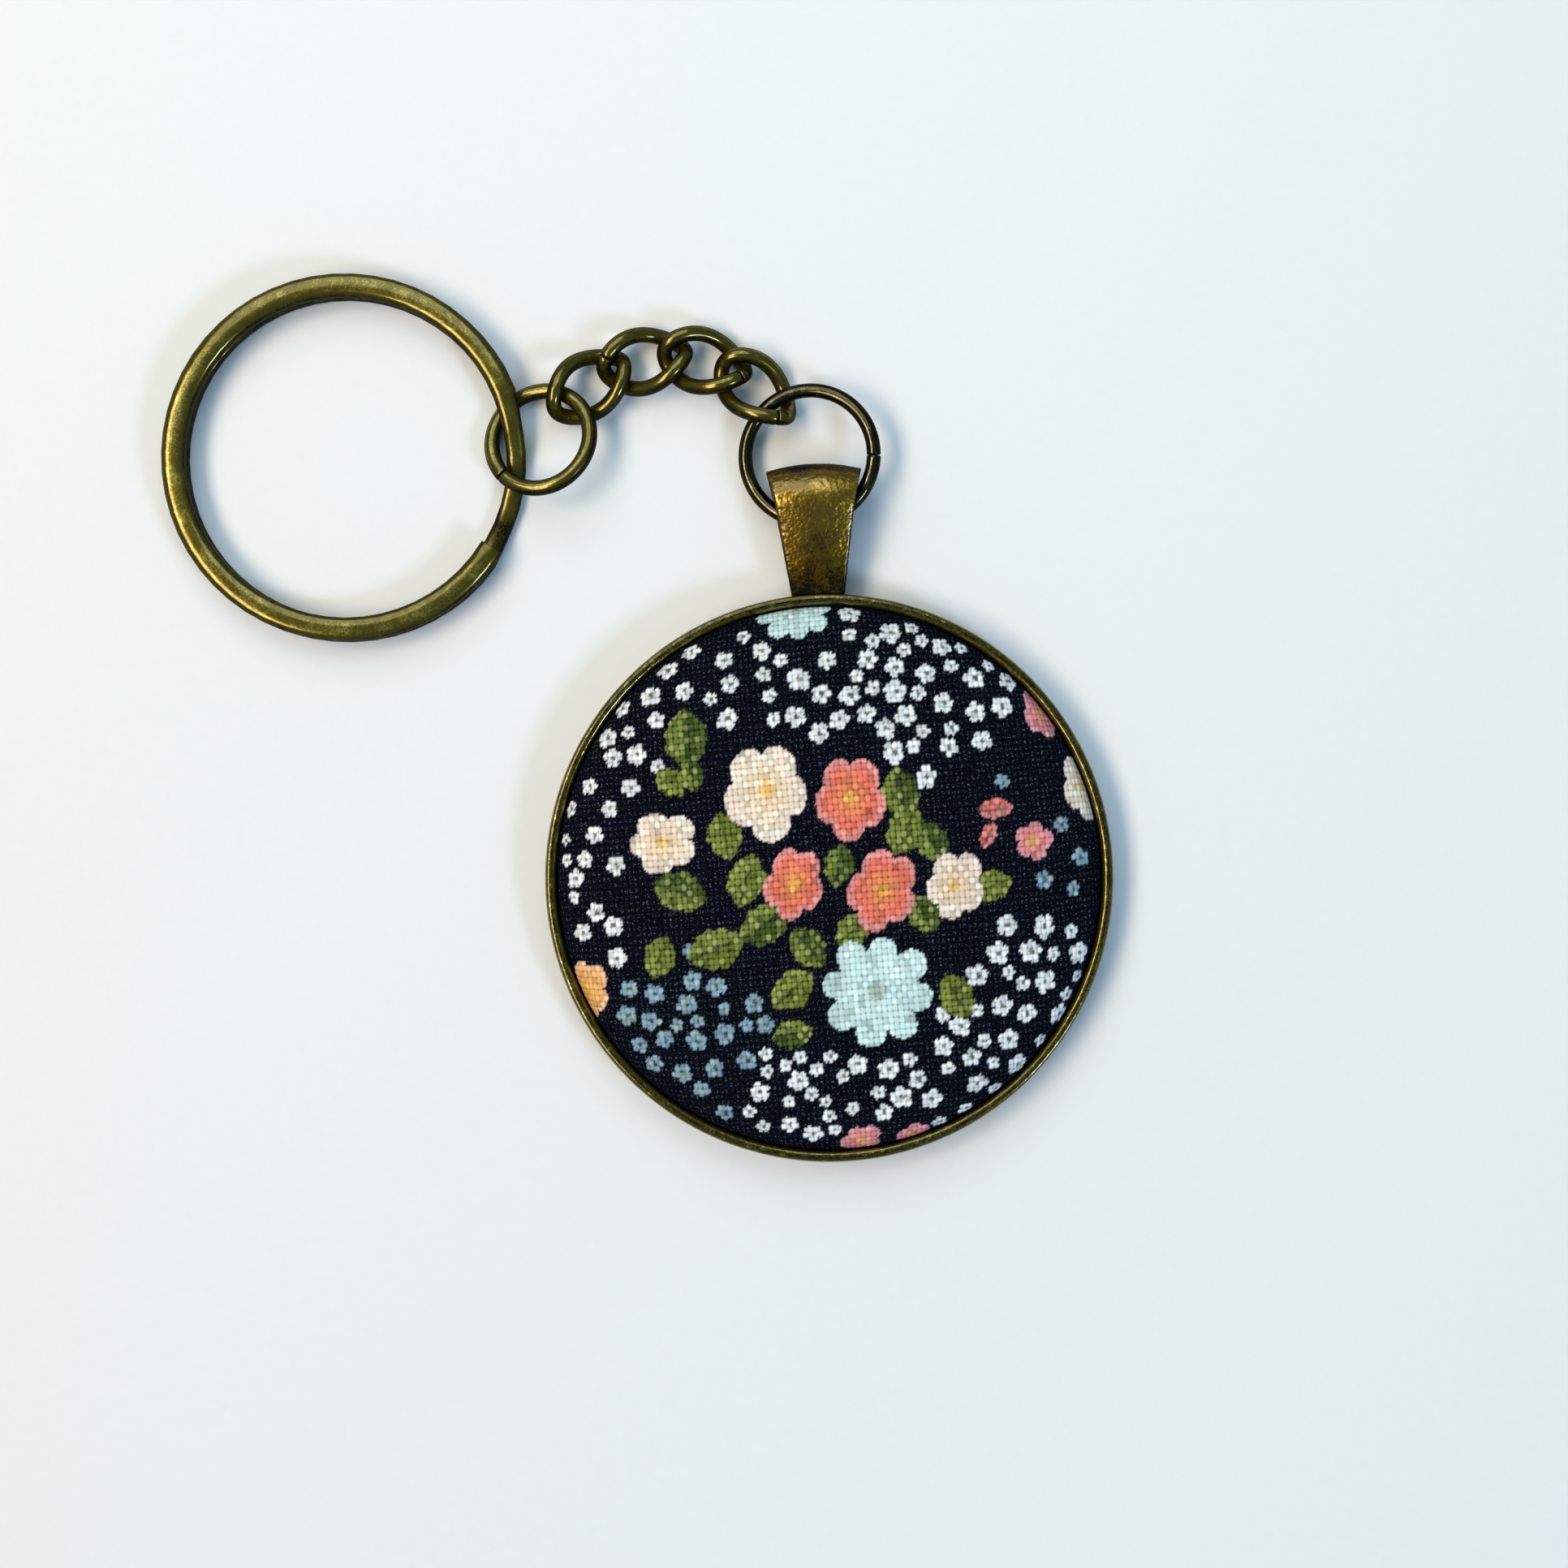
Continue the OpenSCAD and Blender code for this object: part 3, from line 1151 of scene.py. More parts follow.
@dataclass
class BezelTray:
    """A round cast tray: a floor with a thin upright wall and a softened lip.

    Attributes:
        finish: Its finish.
        body: The body that it moves with.
        radius: Outer radius in millimetres.
        wall: Thickness of the wall.
        height: Height of the wall.
        floor: Thickness of the floor.
        sides: Sides of the round.
        lip: Rounding of the wall's top.
        foot: Rounding of the lower edge.
        grain_size: Size of the cast grain.
        grain_depth: Depth of the cast grain.
        side_wear: Wear on the wall's side.
        top_wear: Wear that is added on the lip.
    """

    finish: AgedBronze
    body: str = "pendant"
    radius: float = 20.0
    wall: float = 0.75
    height: float = 3.0
    floor: float = 0.8
    sides: int = 640
    lip: float = 0.34
    foot: float = 0.3
    grain_size: float = 0.35
    grain_depth: float = 0.03
    side_wear: float = 0.33
    top_wear: float = 0.47

    def build(self) -> bpy.types.Object:
        """Makes the tray and hands it to the frame.

        Returns:
            The finished tray.
        """
        Bench.clear()
        bpy.ops.mesh.primitive_cylinder_add(vertices=self.sides, radius=self.radius, depth=self.height,
                                            location=(0, 0, self.height / 2), end_fill_type="NGON")
        tray = bpy.context.object
        bpy.ops.object.transform_apply(location=True, rotation=True, scale=True)
        with Bench.editing(tray, Element.FACE):
            Bench.select(tray, Element.FACE, lambda face: face.normal.z > 0.9)
            bpy.ops.mesh.inset(thickness=self.wall)
            bpy.ops.mesh.extrude_region_move(
                TRANSFORM_OT_translate={"value": (0, 0, self.floor - self.height)})
            bpy.ops.mesh.inset(thickness=1.2)
            bpy.ops.mesh.inset(thickness=4)
            Bench.select(tray, Element.FACE, lambda face: face.normal.z < -0.9)
            bpy.ops.mesh.inset(thickness=1.4)
            bpy.ops.mesh.inset(thickness=5)
        self.soften(tray)
        grain = bpy.data.textures.new("cast_grain", "CLOUDS")
        grain.noise_scale = self.grain_size
        grain.noise_depth = 2
        Bench.apply(tray, "DISPLACE", texture=grain, texture_coords="LOCAL",
                    strength=self.grain_depth, mid_level=0.5)
        self.flatten_back(tray)
        facing = np.abs(Bench.normals(tray)[:, 2])
        Bench.paint(tray, "wear", self.side_wear + self.top_wear * facing)
        Bench.set_down(tray, "cast_tray", Matrix(), 40)
        Bench.dress(tray, self.finish.build())
        Bench.fit(tray, self.body, "tray_bronze", "bezel_tray")
        return tray

    def soften(self, tray: bpy.types.Object) -> None:
        """Rounds the lip and the lower edge, and rings the wall with extra steps.

        Args:
            tray: The tray with sharp edges.
        """
        with Bench.editing(tray, Element.EDGE):
            spots = [Vector(vertex.co) for vertex in tray.data.vertices]

            def on_ring(edge: bpy.types.MeshEdge, level: float, inside: float) -> bool:
                """Says whether an edge lies on a level outside a radius.

                Args:
                    edge: The edge.
                    level: The level, in millimetres.
                    inside: The radius, in millimetres.

                Returns:
                    Whether it does.
                """
                ends = [spots[index] for index in edge.vertices]
                return all(abs(p.z - level) < 0.01 and p.xy.length > inside for p in ends)

            inner = self.radius - self.wall
            Bench.select(tray, Element.EDGE, lambda edge: on_ring(edge, self.height, inner - 0.1))
            bpy.ops.mesh.bevel(offset=self.lip, segments=4, affect="EDGES")
        with Bench.editing(tray, Element.EDGE):
            spots = [Vector(vertex.co) for vertex in tray.data.vertices]
            Bench.select(tray, Element.EDGE, lambda edge: on_ring(edge, 0, self.radius - 0.1))
            bpy.ops.mesh.bevel(offset=self.foot, segments=3, affect="EDGES")
        with Bench.editing(tray, Element.EDGE):
            spots = [Vector(vertex.co) for vertex in tray.data.vertices]

            def upright(edge: bpy.types.MeshEdge) -> bool:
                """Says whether an edge stands in the tray's wall."""
                ends = [spots[index] for index in edge.vertices]
                flat = (ends[0].xy - ends[1].xy).length < 0.01
                return flat and abs(ends[0].z - ends[1].z) > 1

            Bench.select(tray, Element.EDGE, upright)
            bpy.ops.mesh.subdivide(number_cuts=6)

    def flatten_back(self, tray: bpy.types.Object) -> None:
        """Holds the back flat and the wall within its true size after the grain is added.

        Args:
            tray: The grained tray.
        """
        places = Bench.points(tray)
        reach = np.hypot(places[:, 0], places[:, 1])
        back = (places[:, 2] < 0.12) & (reach < self.radius - 0.3)
        places[back, 2] = 0.0
        places[:, 2] = np.clip(places[:, 2], 0, self.height)
        shrink = np.minimum(1, self.radius / np.maximum(reach, 0.001))
        places[:, :2] *= shrink[:, None]
        Bench.move(tray, places)


# ---------------------------------------------------------------------------------------------
# The printed cover
# ---------------------------------------------------------------------------------------------


PETAL_RIM: Colour = (0.78, 0.7, 0.86)
LEAF_WORN: Colour = (0.02, 0.035, 0.012)
LEAF_VEIN: Colour = (0.01, 0.02, 0.01)


class Shape(Enum):
    """The outlines that the print is made of."""

    BLOSSOM = "blossom"
    DAISY = "daisy"
    LEAF = "leaf"
    STAR = "star"


@dataclass(frozen=True)
class Motif:
    """One printed flower or leaf, in millimetres on the flat cloth.

    Attributes:
        shape: Its outline.
        x: Place across the cloth.
        y: Place up the cloth.
        size: Half of its length.
        colour: Its main colour.
        heart: Colour of its middle, or of a leaf's paler half.
        turn: How far it is turned, in degrees.
        stretch: How much narrower than long it is.
        petals: Number of petals.
        notch: Depth of the notches between petals, as a share of the size.
        ink: Strength of the ink, 1 where it soaks the threads.
    """

    shape: Shape
    x: float
    y: float
    size: float
    colour: Colour
    heart: Colour
    turn: float = 0.0
    stretch: float = 1.0
    petals: int = 5
    notch: float = 0.24
    ink: float = 1.0

    def dice(self) -> np.random.Generator:
        """Gives the motif's own random numbers, the same every time."""
        return np.random.default_rng(int(abs(self.x * 131 + self.y * 977) * 10))

    def petal_edge(self, angle: np.ndarray) -> np.ndarray:
        """Gives the outline's reach: uneven petals with notches between them.

        Args:
            angle: Each point's bearing from the flower's middle, in radians.

        Returns:
            The reach at each point, as a share of the flower's size.
        """
        lengths = self.dice().uniform(0.84, 1.0, self.petals)
        turns = np.mod(angle / (2 * math.pi) * self.petals, self.petals)
        petal = np.floor(turns).astype(int) % self.petals
        across = np.abs(2 * (turns - np.floor(turns)) - 1)
        return lengths[petal] * (1 - self.notch * across ** 2.6)

    def paint(self, cloth: np.ndarray, across: np.ndarray, up: np.ndarray) -> None:
        """Prints the motif over the colours so far.

        Args:
            cloth: The colours and ink strength, one row per point, changed in place.
            across: Each point's place across the cloth.
            up: Each point's place up the cloth.
        """
        near = (np.abs(across - self.x) < self.size * 1.6) & (np.abs(up - self.y) < self.size * 1.6)
        spots = np.nonzero(near)[0]
        if not len(spots):
            return
        turn = math.radians(self.turn)
        left, high = across[spots] - self.x, up[spots] - self.y
        along = (left * math.cos(turn) + high * math.sin(turn)) / self.size
        aside = (high * math.cos(turn) - left * math.sin(turn)) * self.stretch / self.size
        painter = {Shape.BLOSSOM: self.blossom, Shape.DAISY: self.daisy,
                   Shape.LEAF: self.leaf, Shape.STAR: self.star}[self.shape]
        painter(cloth, spots, along, aside)

    def fill(self, cloth: np.ndarray, spots: np.ndarray, inside: np.ndarray, colour: Colour,
             share: float = 1.0) -> None:
        """Prints a colour on the chosen spots.

        Args:
            cloth: The colours and ink strength, changed in place.
            spots: The rows that the motif covers.
            inside: Which of those rows are printed.
            colour: The colour.
            share: How much of the new colour is used over the old one.
        """
        rows = spots[inside]
        cloth[rows, :3] = share * np.array(colour) + (1 - share) * cloth[rows, :3]
        cloth[rows, 3] = self.ink

    def blossom(self, cloth: np.ndarray, spots: np.ndarray, along: np.ndarray, aside: np.ndarray) -> None:
        """Prints a full blossom with a paler rim and a small golden heart.

        Args:
            cloth: The colours and ink strength, changed in place.
            spots: The rows near the motif.
            along: Each of those rows' place along the motif, as a share of its size.
            aside: Each of those rows' place across the motif, as a share of its size.
        """
        reach, angle = np.hypot(along, aside), np.arctan2(aside, along)
        edge = self.petal_edge(angle)
        self.fill(cloth, spots, reach < edge, self.colour)
        self.fill(cloth, spots, (reach < edge) & (reach > 0.8 * edge), PETAL_RIM, 0.22)
        self.fill(cloth, spots, reach < 0.45, self.heart, 0.2)
        self.fill(cloth, spots, reach < 0.17 + 0.04 * np.cos(4 * angle), self.heart, 0.75)

    def daisy(self, cloth: np.ndarray, spots: np.ndarray, along: np.ndarray, aside: np.ndarray) -> None:
        """Prints an open flower with separate petals and a faint green heart.

        Args:
            cloth: The colours and ink strength, changed in place.
            spots: The rows near the motif.
            along: Each of those rows' place along the motif, as a share of its size.
            aside: Each of those rows' place across the motif, as a share of its size.
        """
        reach, angle = np.hypot(along, aside), np.arctan2(aside, along)
        self.fill(cloth, spots, reach < self.petal_edge(angle), self.colour)
        self.fill(cloth, spots, reach < 0.15 + 0.04 * np.cos(5 * angle), self.heart, 0.45)

    def leaf(self, cloth: np.ndarray, spots: np.ndarray, along: np.ndarray, aside: np.ndarray) -> None:
        """Prints a pointed leaf, worn thin in places, with one half paler than the other.

        Args:
            cloth: The colours and ink strength, changed in place.
            spots: The rows near the motif.
            along: Each of those rows' place along the motif, as a share of its size.
            aside: Each of those rows' place across the motif, as a share of its size.
        """
        patchy = 0.5 + 0.5 * np.sin(9 * along + 3 * aside + self.x) * np.sin(7 * aside - 4 * along + self.y)
        half = 0.56 * np.clip(1 - np.abs(along) ** 2.2, 0, 1) * (0.86 + 0.22 * patchy)
        inside = (np.abs(aside) < half) & (np.abs(along) < 1)
        self.fill(cloth, spots, inside, self.colour)
        self.fill(cloth, spots, inside & (aside > 0.06), self.heart, 0.55)
        self.fill(cloth, spots, inside & (patchy < 0.3), LEAF_WORN, 0.55)
        self.fill(cloth, spots, inside & (np.abs(aside) < 0.05) & (along < 0.6), LEAF_VEIN, 0.6)

    def star(self, cloth: np.ndarray, spots: np.ndarray, along: np.ndarray, aside: np.ndarray) -> None:
        """Prints a tiny five-petalled flower with a dark eye to one side.

        Args:
            cloth: The colours and ink strength, changed in place.
            spots: The rows near the motif.
            along: Each of those rows' place along the motif, as a share of its size.
            aside: Each of those rows' place across the motif, as a share of its size.
        """
        reach, angle = np.hypot(along, aside), np.arctan2(aside, along)
        self.fill(cloth, spots, reach < self.petal_edge(angle), self.colour)
        eye = np.hypot(along - 0.06, (aside + 0.04) * 0.8) < 0.2
        self.fill(cloth, spots, eye, self.heart, 0.85)


@dataclass(frozen=True)
class Drift:
    """A loose scatter of tiny flowers on the cloth.

    Attributes:
        count: How many there are.
        radii: The radii between which they lie, in millimetres.
        bearings: The bearings between which they lie, in degrees.
        size: Half of the largest one's width.
        colour: Their colour.
    """

    count: int
    radii: tuple[float, float]
    bearings: tuple[float, float]
    size: float
    colour: Colour


@dataclass
class FloralPrint:
    """A dark ground with a loose bunch of flowers in the middle and drifts of tiny ones round it."""

    seed: int = 41
    most_tries: int = 4000
    ground: Colour = from_screen(5, 8, 22)
    cream: Colour = from_screen(250, 228, 206)
    coral: Colour = from_screen(238, 118, 98)
    aqua: Colour = from_screen(208, 238, 240)
    white: Colour = from_screen(236, 242, 248)
    sky: Colour = from_screen(132, 164, 186)
    pink: Colour = from_screen(232, 138, 142)
    apricot: Colour = from_screen(242, 178, 112)
    olive: Colour = from_screen(104, 118, 40)
    moss: Colour = from_screen(66, 84, 28)
    sprout: Colour = from_screen(142, 156, 70)
    gold: Colour = from_screen(242, 184, 78)

    def leaves(self) -> list[Motif]:
        """Lists the leaves behind the bunch, from rows of x, y, half length and turn.

        Returns:
            The leaves, in the order they are printed.
        """
        spread = [(-7.2, 3.3, 1.7, 100), (-10.4, -0.4, 2.0, 160), (-5.8, 0.2, 1.9, 75),
                  (5.0, 5.7, 1.9, 95), (5.2, 3.1, 1.8, 60), (7.0, 2.4, 1.6, 120), (11.2, -0.8, 1.5, 15),
                  (6.4, -2.6, 1.5, 120), (-8.0, -4.4, 2.1, 20), (-4.6, -2.9, 2.0, 30),
                  (-12.0, -4.9, 1.6, 70), (-1.6, -4.6, 1.7, 130), (1.5, -3.6, 1.5, 40),
                  (0.6, 0.9, 1.5, 80), (-2.8, -7.5, 1.8, 40), (-3.0, -10.6, 1.5, 10),
                  (8.5, -8.4, 1.8, 115), (-9.6, 10.2, 2.2, 95), (-10.8, 7.2, 1.3, 130), (-9.3, 7.6, 1.2, 100)]
        tones = (self.olive, self.moss)
        return [Motif(Shape.LEAF, x, y, size, tones[index % 2], self.sprout, turn=turn, stretch=0.8, ink=0.2)
                for index, (x, y, size, turn) in enumerate(spread)]

    def flowers(self) -> list[Motif]:
        """Lists the large flowers of the bunch and those cut off by the button's edge.

        Returns:
            The flowers, in the order they are printed.
        """
        blossom, daisy = Shape.BLOSSOM, Shape.DAISY
        return [
            Motif(blossom, -4.2, 6.3, 3.6, self.cream, self.gold, turn=95, stretch=1.15),
            Motif(blossom, -11.6, 3.0, 2.7, self.cream, self.gold, turn=5, stretch=1.2),
            Motif(blossom, 8.5, -0.7, 2.6, self.cream, self.gold, turn=80, stretch=1.15),
            Motif(blossom, 1.5, 5.5, 3.1, self.coral, self.gold, turn=85, stretch=1.2, ink=0.75),
            Motif(blossom, -2.5, -0.2, 2.9, self.coral, self.gold, turn=80, stretch=1.25, ink=0.75),
            Motif(blossom, 3.6, -0.9, 3.1, self.coral, self.gold, turn=70, stretch=1.2, ink=0.75),
            Motif(daisy, 3.0, -7.8, 4.1, self.aqua, self.olive, turn=12, petals=8, notch=0.3),
            Motif(daisy, -1.8, 19.4, 2.9, self.aqua, self.olive, turn=30, petals=8, notch=0.3),
            Motif(blossom, 14.2, 2.2, 1.5, self.pink, self.gold, turn=40),
            Motif(Shape.LEAF, 11.0, 2.7, 1.0, self.pink, self.coral, turn=65),
            Motif(Shape.LEAF, 11.6, 4.5, 1.3, self.pink, self.coral, turn=5),
            Motif(blossom, 15.9, 11.4, 2.3, self.pink, self.gold, turn=100, stretch=1.4),
            Motif(blossom, 18.6, 6.0, 2.8, self.cream, self.gold, turn=100, stretch=1.3),
            Motif(blossom, -17.6, -7.4, 2.4, self.apricot, self.gold, turn=80, stretch=1.2),
            Motif(blossom, 1.6, -19.0, 1.6, self.pink, self.gold, turn=10),
            Motif(blossom, 5.4, -19.0, 1.5, self.pink, self.gold, turn=60, stretch=1.2)]

    def drifts(self) -> list[Drift]:
        """Lists the drifts of tiny flowers.

        Returns:
            The drifts, from the top round to the right.
        """
        return [Drift(46, (9.2, 19.3), (40, 108), 0.88, self.white),
                Drift(15, (12.8, 19.3), (104, 150), 0.84, self.white),
                Drift(15, (14.8, 19.3), (152, 200), 0.78, self.white),
                Drift(38, (12.0, 19.3), (-82, -12), 0.88, self.white),
                Drift(20, (11.4, 18.3), (-115, -80), 0.84, self.white),
                Drift(24, (9.8, 18.3), (-160, -110), 0.8, self.sky),
                Drift(5, (12.5, 18.6), (-14, 34), 0.7, self.sky)]

    def scatter(self, taken: Iterable[Motif]) -> list[Motif]:
        """Scatters the tiny flowers clear of the large ones and of each other.

        Args:
            taken: The motifs already placed.

        Returns:
            The tiny flowers.
        """
        rng = np.random.default_rng(self.seed)
        placed = [(m.x, m.y, m.size * (1.05 if m.shape is not Shape.LEAF else 0.6)) for m in taken]
        tiny = []
        for drift in self.drifts():
            found, tries = 0, 0
            while found < drift.count and tries < self.most_tries:
                tries += 1
                reach = math.sqrt(rng.uniform(drift.radii[0] ** 2, drift.radii[1] ** 2))
                bearing = math.radians(rng.uniform(*drift.bearings))
                size = drift.size * rng.choice([1.0, 1.0, 0.9, 0.66])
                x, y = reach * math.cos(bearing), reach * math.sin(bearing)
                if any(math.hypot(x - px, y - py) < size + room * 0.98 for px, py, room in placed):
                    continue
                placed.append((x, y, size))
                tiny.append(Motif(Shape.STAR, x, y, size, drift.colour, self.ground, notch=0.34,
                                  turn=float(rng.uniform(0, 72)), stretch=float(rng.uniform(0.92, 1.12))))
                found += 1
        return tiny

    def colours(self, across: np.ndarray, up: np.ndarray) -> np.ndarray:
        """Prints the cloth.

        Args:
            across: Places across the cloth, in millimetres.
            up: Places up the cloth, in millimetres.

        Returns:
            One linear colour for each place, with the ink's strength as a fourth number.
        """
        cloth = np.tile(np.array([*self.ground, 0.0]), (len(across), 1))
        large = self.leaves() + self.flowers()
        for motif in self.scatter(large) + large:
            motif.paint(cloth, across, up)
        return cloth


@dataclass
class FabricCover:
    """One round of cotton stretched over the button's dome and turned in under its edge.

    Attributes:
        finish: Its finish.
        pattern: The print on it.
        body: The body that it moves with.
        radius: Outer radius in millimetres, below the weave's relief.
        crown: Height of the dome's middle.
        skirt: Height where the dome meets the upright edge.
        hem: Height of the turned-in hem.
        bend: Radius of the fold at the hem.
        turned_in: How far the hem reaches inwards.
        warp_pitch: Width of one warp thread with its gap.
        weft_pitch: Width of one weft thread with its gap.
        turn: How far the weave is turned against the dome, in degrees.
        relief: Height of the weave.
        steps_per_thread: Points across one thread.
        wander: How far the threads stray from straight lines.
        snap: How far the print's edges step with the threads, 0 to 1.
        first_thread: Number of the thread in the middle, so that no number is below 0.
        tones: How many threads have a tone of their own.
        bare_thread: Colour of a thread that the dye missed.
    """

    finish: PrintedCotton
    pattern: FloralPrint = field(default_factory=FloralPrint)
    body: str = "pendant"
    radius: float = 19.14
    crown: float = 6.14
    skirt: float = 1.9
    hem: float = 1.25
    turned_in: float = 1.6
    warp_pitch: float = 0.375
    weft_pitch: float = 0.441
    turn: float = 3.0
    relief: float = 0.055
    steps_per_thread: int = 3
    bend: float = 0.25
    wander: float = 0.07
    snap: float = 0.22
    first_thread: float = 100.5
    tones: int = 300
    bare_thread: Colour = from_screen(204, 212, 128)

    def profile(self) -> tuple[np.ndarray, np.ndarray, np.ndarray]:
        """Gives the cover's side line from the crown to the turned-in hem.

        Returns:
            Distance along the line, radius and height, in millimetres.
        """
        out = self.radius * np.sin(np.linspace(0, math.pi / 2, 400))
        rise = (self.crown - self.skirt) * np.clip(1 - (out / self.radius) ** 2.2, 0, 1) ** (1 / 2.5)
        corner = np.linspace(0, math.pi / 2, 12)
        reach = np.concatenate([out, [self.radius], self.radius - self.bend + self.bend * np.cos(corner),
                                [self.radius - self.turned_in]])
        level = np.concatenate([self.skirt + rise, [self.hem + self.bend],
                                self.hem + self.bend - self.bend * np.sin(corner), [self.hem]])
        steps = np.hypot(np.diff(reach), np.diff(level))
        return np.concatenate([[0], np.cumsum(steps)]), reach, level

    def relief_at(self, warp: np.ndarray, weft: np.ndarray) -> np.ndarray:
        """Gives the weave's height, the same wave that the finish shades.

        Args:
            warp: Place across the warp, in threads.
            weft: Place across the weft, in threads.

        Returns:
            The height, about -1.1 to 0.5.
        """
        sign = 1 - 2 * np.mod(np.floor(warp) + np.floor(weft), 2)
        in_warp, in_weft = warp - np.floor(warp) - 0.5, weft - np.floor(weft) - 0.5

        def thread(along: np.ndarray, aside: np.ndarray, over: np.ndarray) -> np.ndarray:
            """Gives the height of one set of threads: over is 1 on top and -1 below."""
            crown = np.sqrt(np.clip(1 - (2 * aside / self.finish.thread_width) ** 2, 0, 1))
            return self.finish.wave * over * np.cos(math.pi * along) + self.finish.round * (crown - 1)

        return np.maximum(thread(in_weft, in_warp, sign), thread(in_warp, in_weft, -sign))

    def blank(self, reach: float) -> bpy.types.Object:
        """Cuts the flat round of cloth, with three points to each thread.

        Args:
            reach: The round's radius in millimetres.

        Returns:
            The flat cloth, one unit to a third of a thread, centred on the origin.
        """
        across = 2 * int(reach / self.warp_pitch * self.steps_per_thread) + 2
        up = 2 * int(reach / self.weft_pitch * self.steps_per_thread) + 2
        Bench.clear()
        bpy.ops.mesh.primitive_grid_add(x_subdivisions=across, y_subdivisions=up, size=1)
        cloth = bpy.context.object
        places = Bench.points(cloth)
        places[:, 0] *= across * self.warp_pitch / self.steps_per_thread
        places[:, 1] *= up * self.weft_pitch / self.steps_per_thread
        Bench.move(cloth, places)
        with Bench.editing(cloth, Element.FACE):
            Bench.select(cloth, Element.FACE, lambda face: face.center.xy.length > reach)
            bpy.ops.mesh.delete(type="FACE")
        return cloth

    def build(self) -> bpy.types.Object:
        """Makes the cover and hands it to the frame.

        Returns:
            The finished cover.
        """
        along, reach, level = self.profile()
        flat_radius = float(along[-1])
        cloth = self.blank(flat_radius)
        flat = Bench.points(cloth)[:, :2]
        warp = flat[:, 0] / self.warp_pitch + self.first_thread
        weft = flat[:, 1] / self.weft_pitch + self.first_thread
        self.store_threads(cloth, warp, weft)
        turn = math.radians(self.turn)
        x, y = flat[:, 0], flat[:, 1]
        laid = flat + self.wander * np.stack([np.sin(y / 2.9 + 0.4) + 0.6 * np.sin(x / 5.1 + y / 7),
                                              np.sin(x / 3.3 + 1.1) + 0.6 * np.sin(y / 4.7)], axis=1)
        spun = np.stack([laid[:, 0] * math.cos(turn) - laid[:, 1] * math.sin(turn),
                         laid[:, 0] * math.sin(turn) + laid[:, 1] * math.cos(turn)], axis=1)
        self.dye(cloth, warp, weft, turn)
        distance = np.minimum(np.hypot(spun[:, 0], spun[:, 1]), flat_radius)
        bearing = np.arctan2(spun[:, 1], spun[:, 0])
        out, height = np.interp(distance, along, reach), np.interp(distance, along, level)
        slope_out = np.interp(distance + 0.02, along, reach) - np.interp(distance - 0.02, along, reach)
        slope_up = np.interp(distance + 0.02, along, level) - np.interp(distance - 0.02, along, level)
        size = np.maximum(np.hypot(slope_out, slope_up), 1e-6)
        proud = self.relief * self.relief_at(warp, weft)
        out = out - proud * slope_up / size
        height = height + proud * slope_out / size
        Bench.move(cloth, np.stack([out * np.cos(bearing), out * np.sin(bearing), height], axis=1))
        Bench.set_down(cloth, "cotton_cover", Matrix(), 180)
        Bench.dress(cloth, self.finish.build())
        Bench.fit(cloth, self.body, "printed_cotton", "fabric_cover")
        return cloth

    def store_threads(self, cloth: bpy.types.Object, warp: np.ndarray, weft: np.ndarray) -> None:
        """Stores each corner's place in threads as the UV map that the finish reads.

        Args:
            cloth: The cloth.
            warp: Each vertex's place across the warp, in threads.
            weft: Each vertex's place across the weft, in threads.
        """
        corners = np.empty(len(cloth.data.loops), dtype=int)
        cloth.data.loops.foreach_get("vertex_index", corners)
        layer = cloth.data.uv_layers.new(name="threads")
        layer.data.foreach_set("uv", np.stack([warp[corners], weft[corners]], axis=1).ravel())

    def dye(self, cloth: bpy.types.Object, warp: np.ndarray, weft: np.ndarray, turn: float) -> None:
        """Prints the cloth: the ink follows the threads, so every edge steps a little.

        Args:
            cloth: The cloth.
            warp: Each vertex's place across the warp, in threads.
            weft: Each vertex's place across the weft, in threads.
            turn: How far the weave is turned against the print, in radians.
        """
        inked_warp = warp * (1 - self.snap) + (np.floor(warp) + 0.5) * self.snap
        inked_weft = weft * (1 - self.snap) + (np.floor(weft) + 0.5) * self.snap
        x = (inked_warp - self.first_thread) * self.warp_pitch
        y = (inked_weft - self.first_thread) * self.weft_pitch
        across, up = x * math.cos(turn) - y * math.sin(turn), x * math.sin(turn) + y * math.cos(turn)
        colours = self.pattern.colours(across, up)
        rng = np.random.default_rng(7)
        warp_tone, weft_tone = rng.normal(1, 0.05, self.tones), rng.normal(1, 0.05, self.tones)
        cells = rng.normal(1, 0.13, (self.tones, self.tones))
        bare = np.clip(rng.normal(0.1, 0.3, (self.tones, self.tones)), 0, 0.5)
        columns, rows = np.floor(warp).astype(int), np.floor(weft).astype(int)
        warp_over = 1 - np.mod(columns + rows, 2)
        tone = warp_tone[columns] * weft_tone[rows] * cells[columns, rows] * (0.9 + 0.16 * warp_over)
        dull = np.minimum(colours[:, 3] * 5, 1) * (1 - colours[:, :3].max(axis=1))
        pale = (bare[columns, rows] * (0.25 + 0.75 * warp_over) * dull)[:, None]
        layer = cloth.data.color_attributes.new("print", "FLOAT_COLOR", "POINT")
        colours[:, :3] = np.clip(colours[:, :3] * tone[:, None], 0, 1)
        colours[:, :3] = colours[:, :3] * (1 - pale) + np.array(self.bare_thread) * pale
        layer.data.foreach_set("color", colours.astype(np.float32).ravel())


# ---------------------------------------------------------------------------------------------
# The inner pieces and the studio
# ---------------------------------------------------------------------------------------------


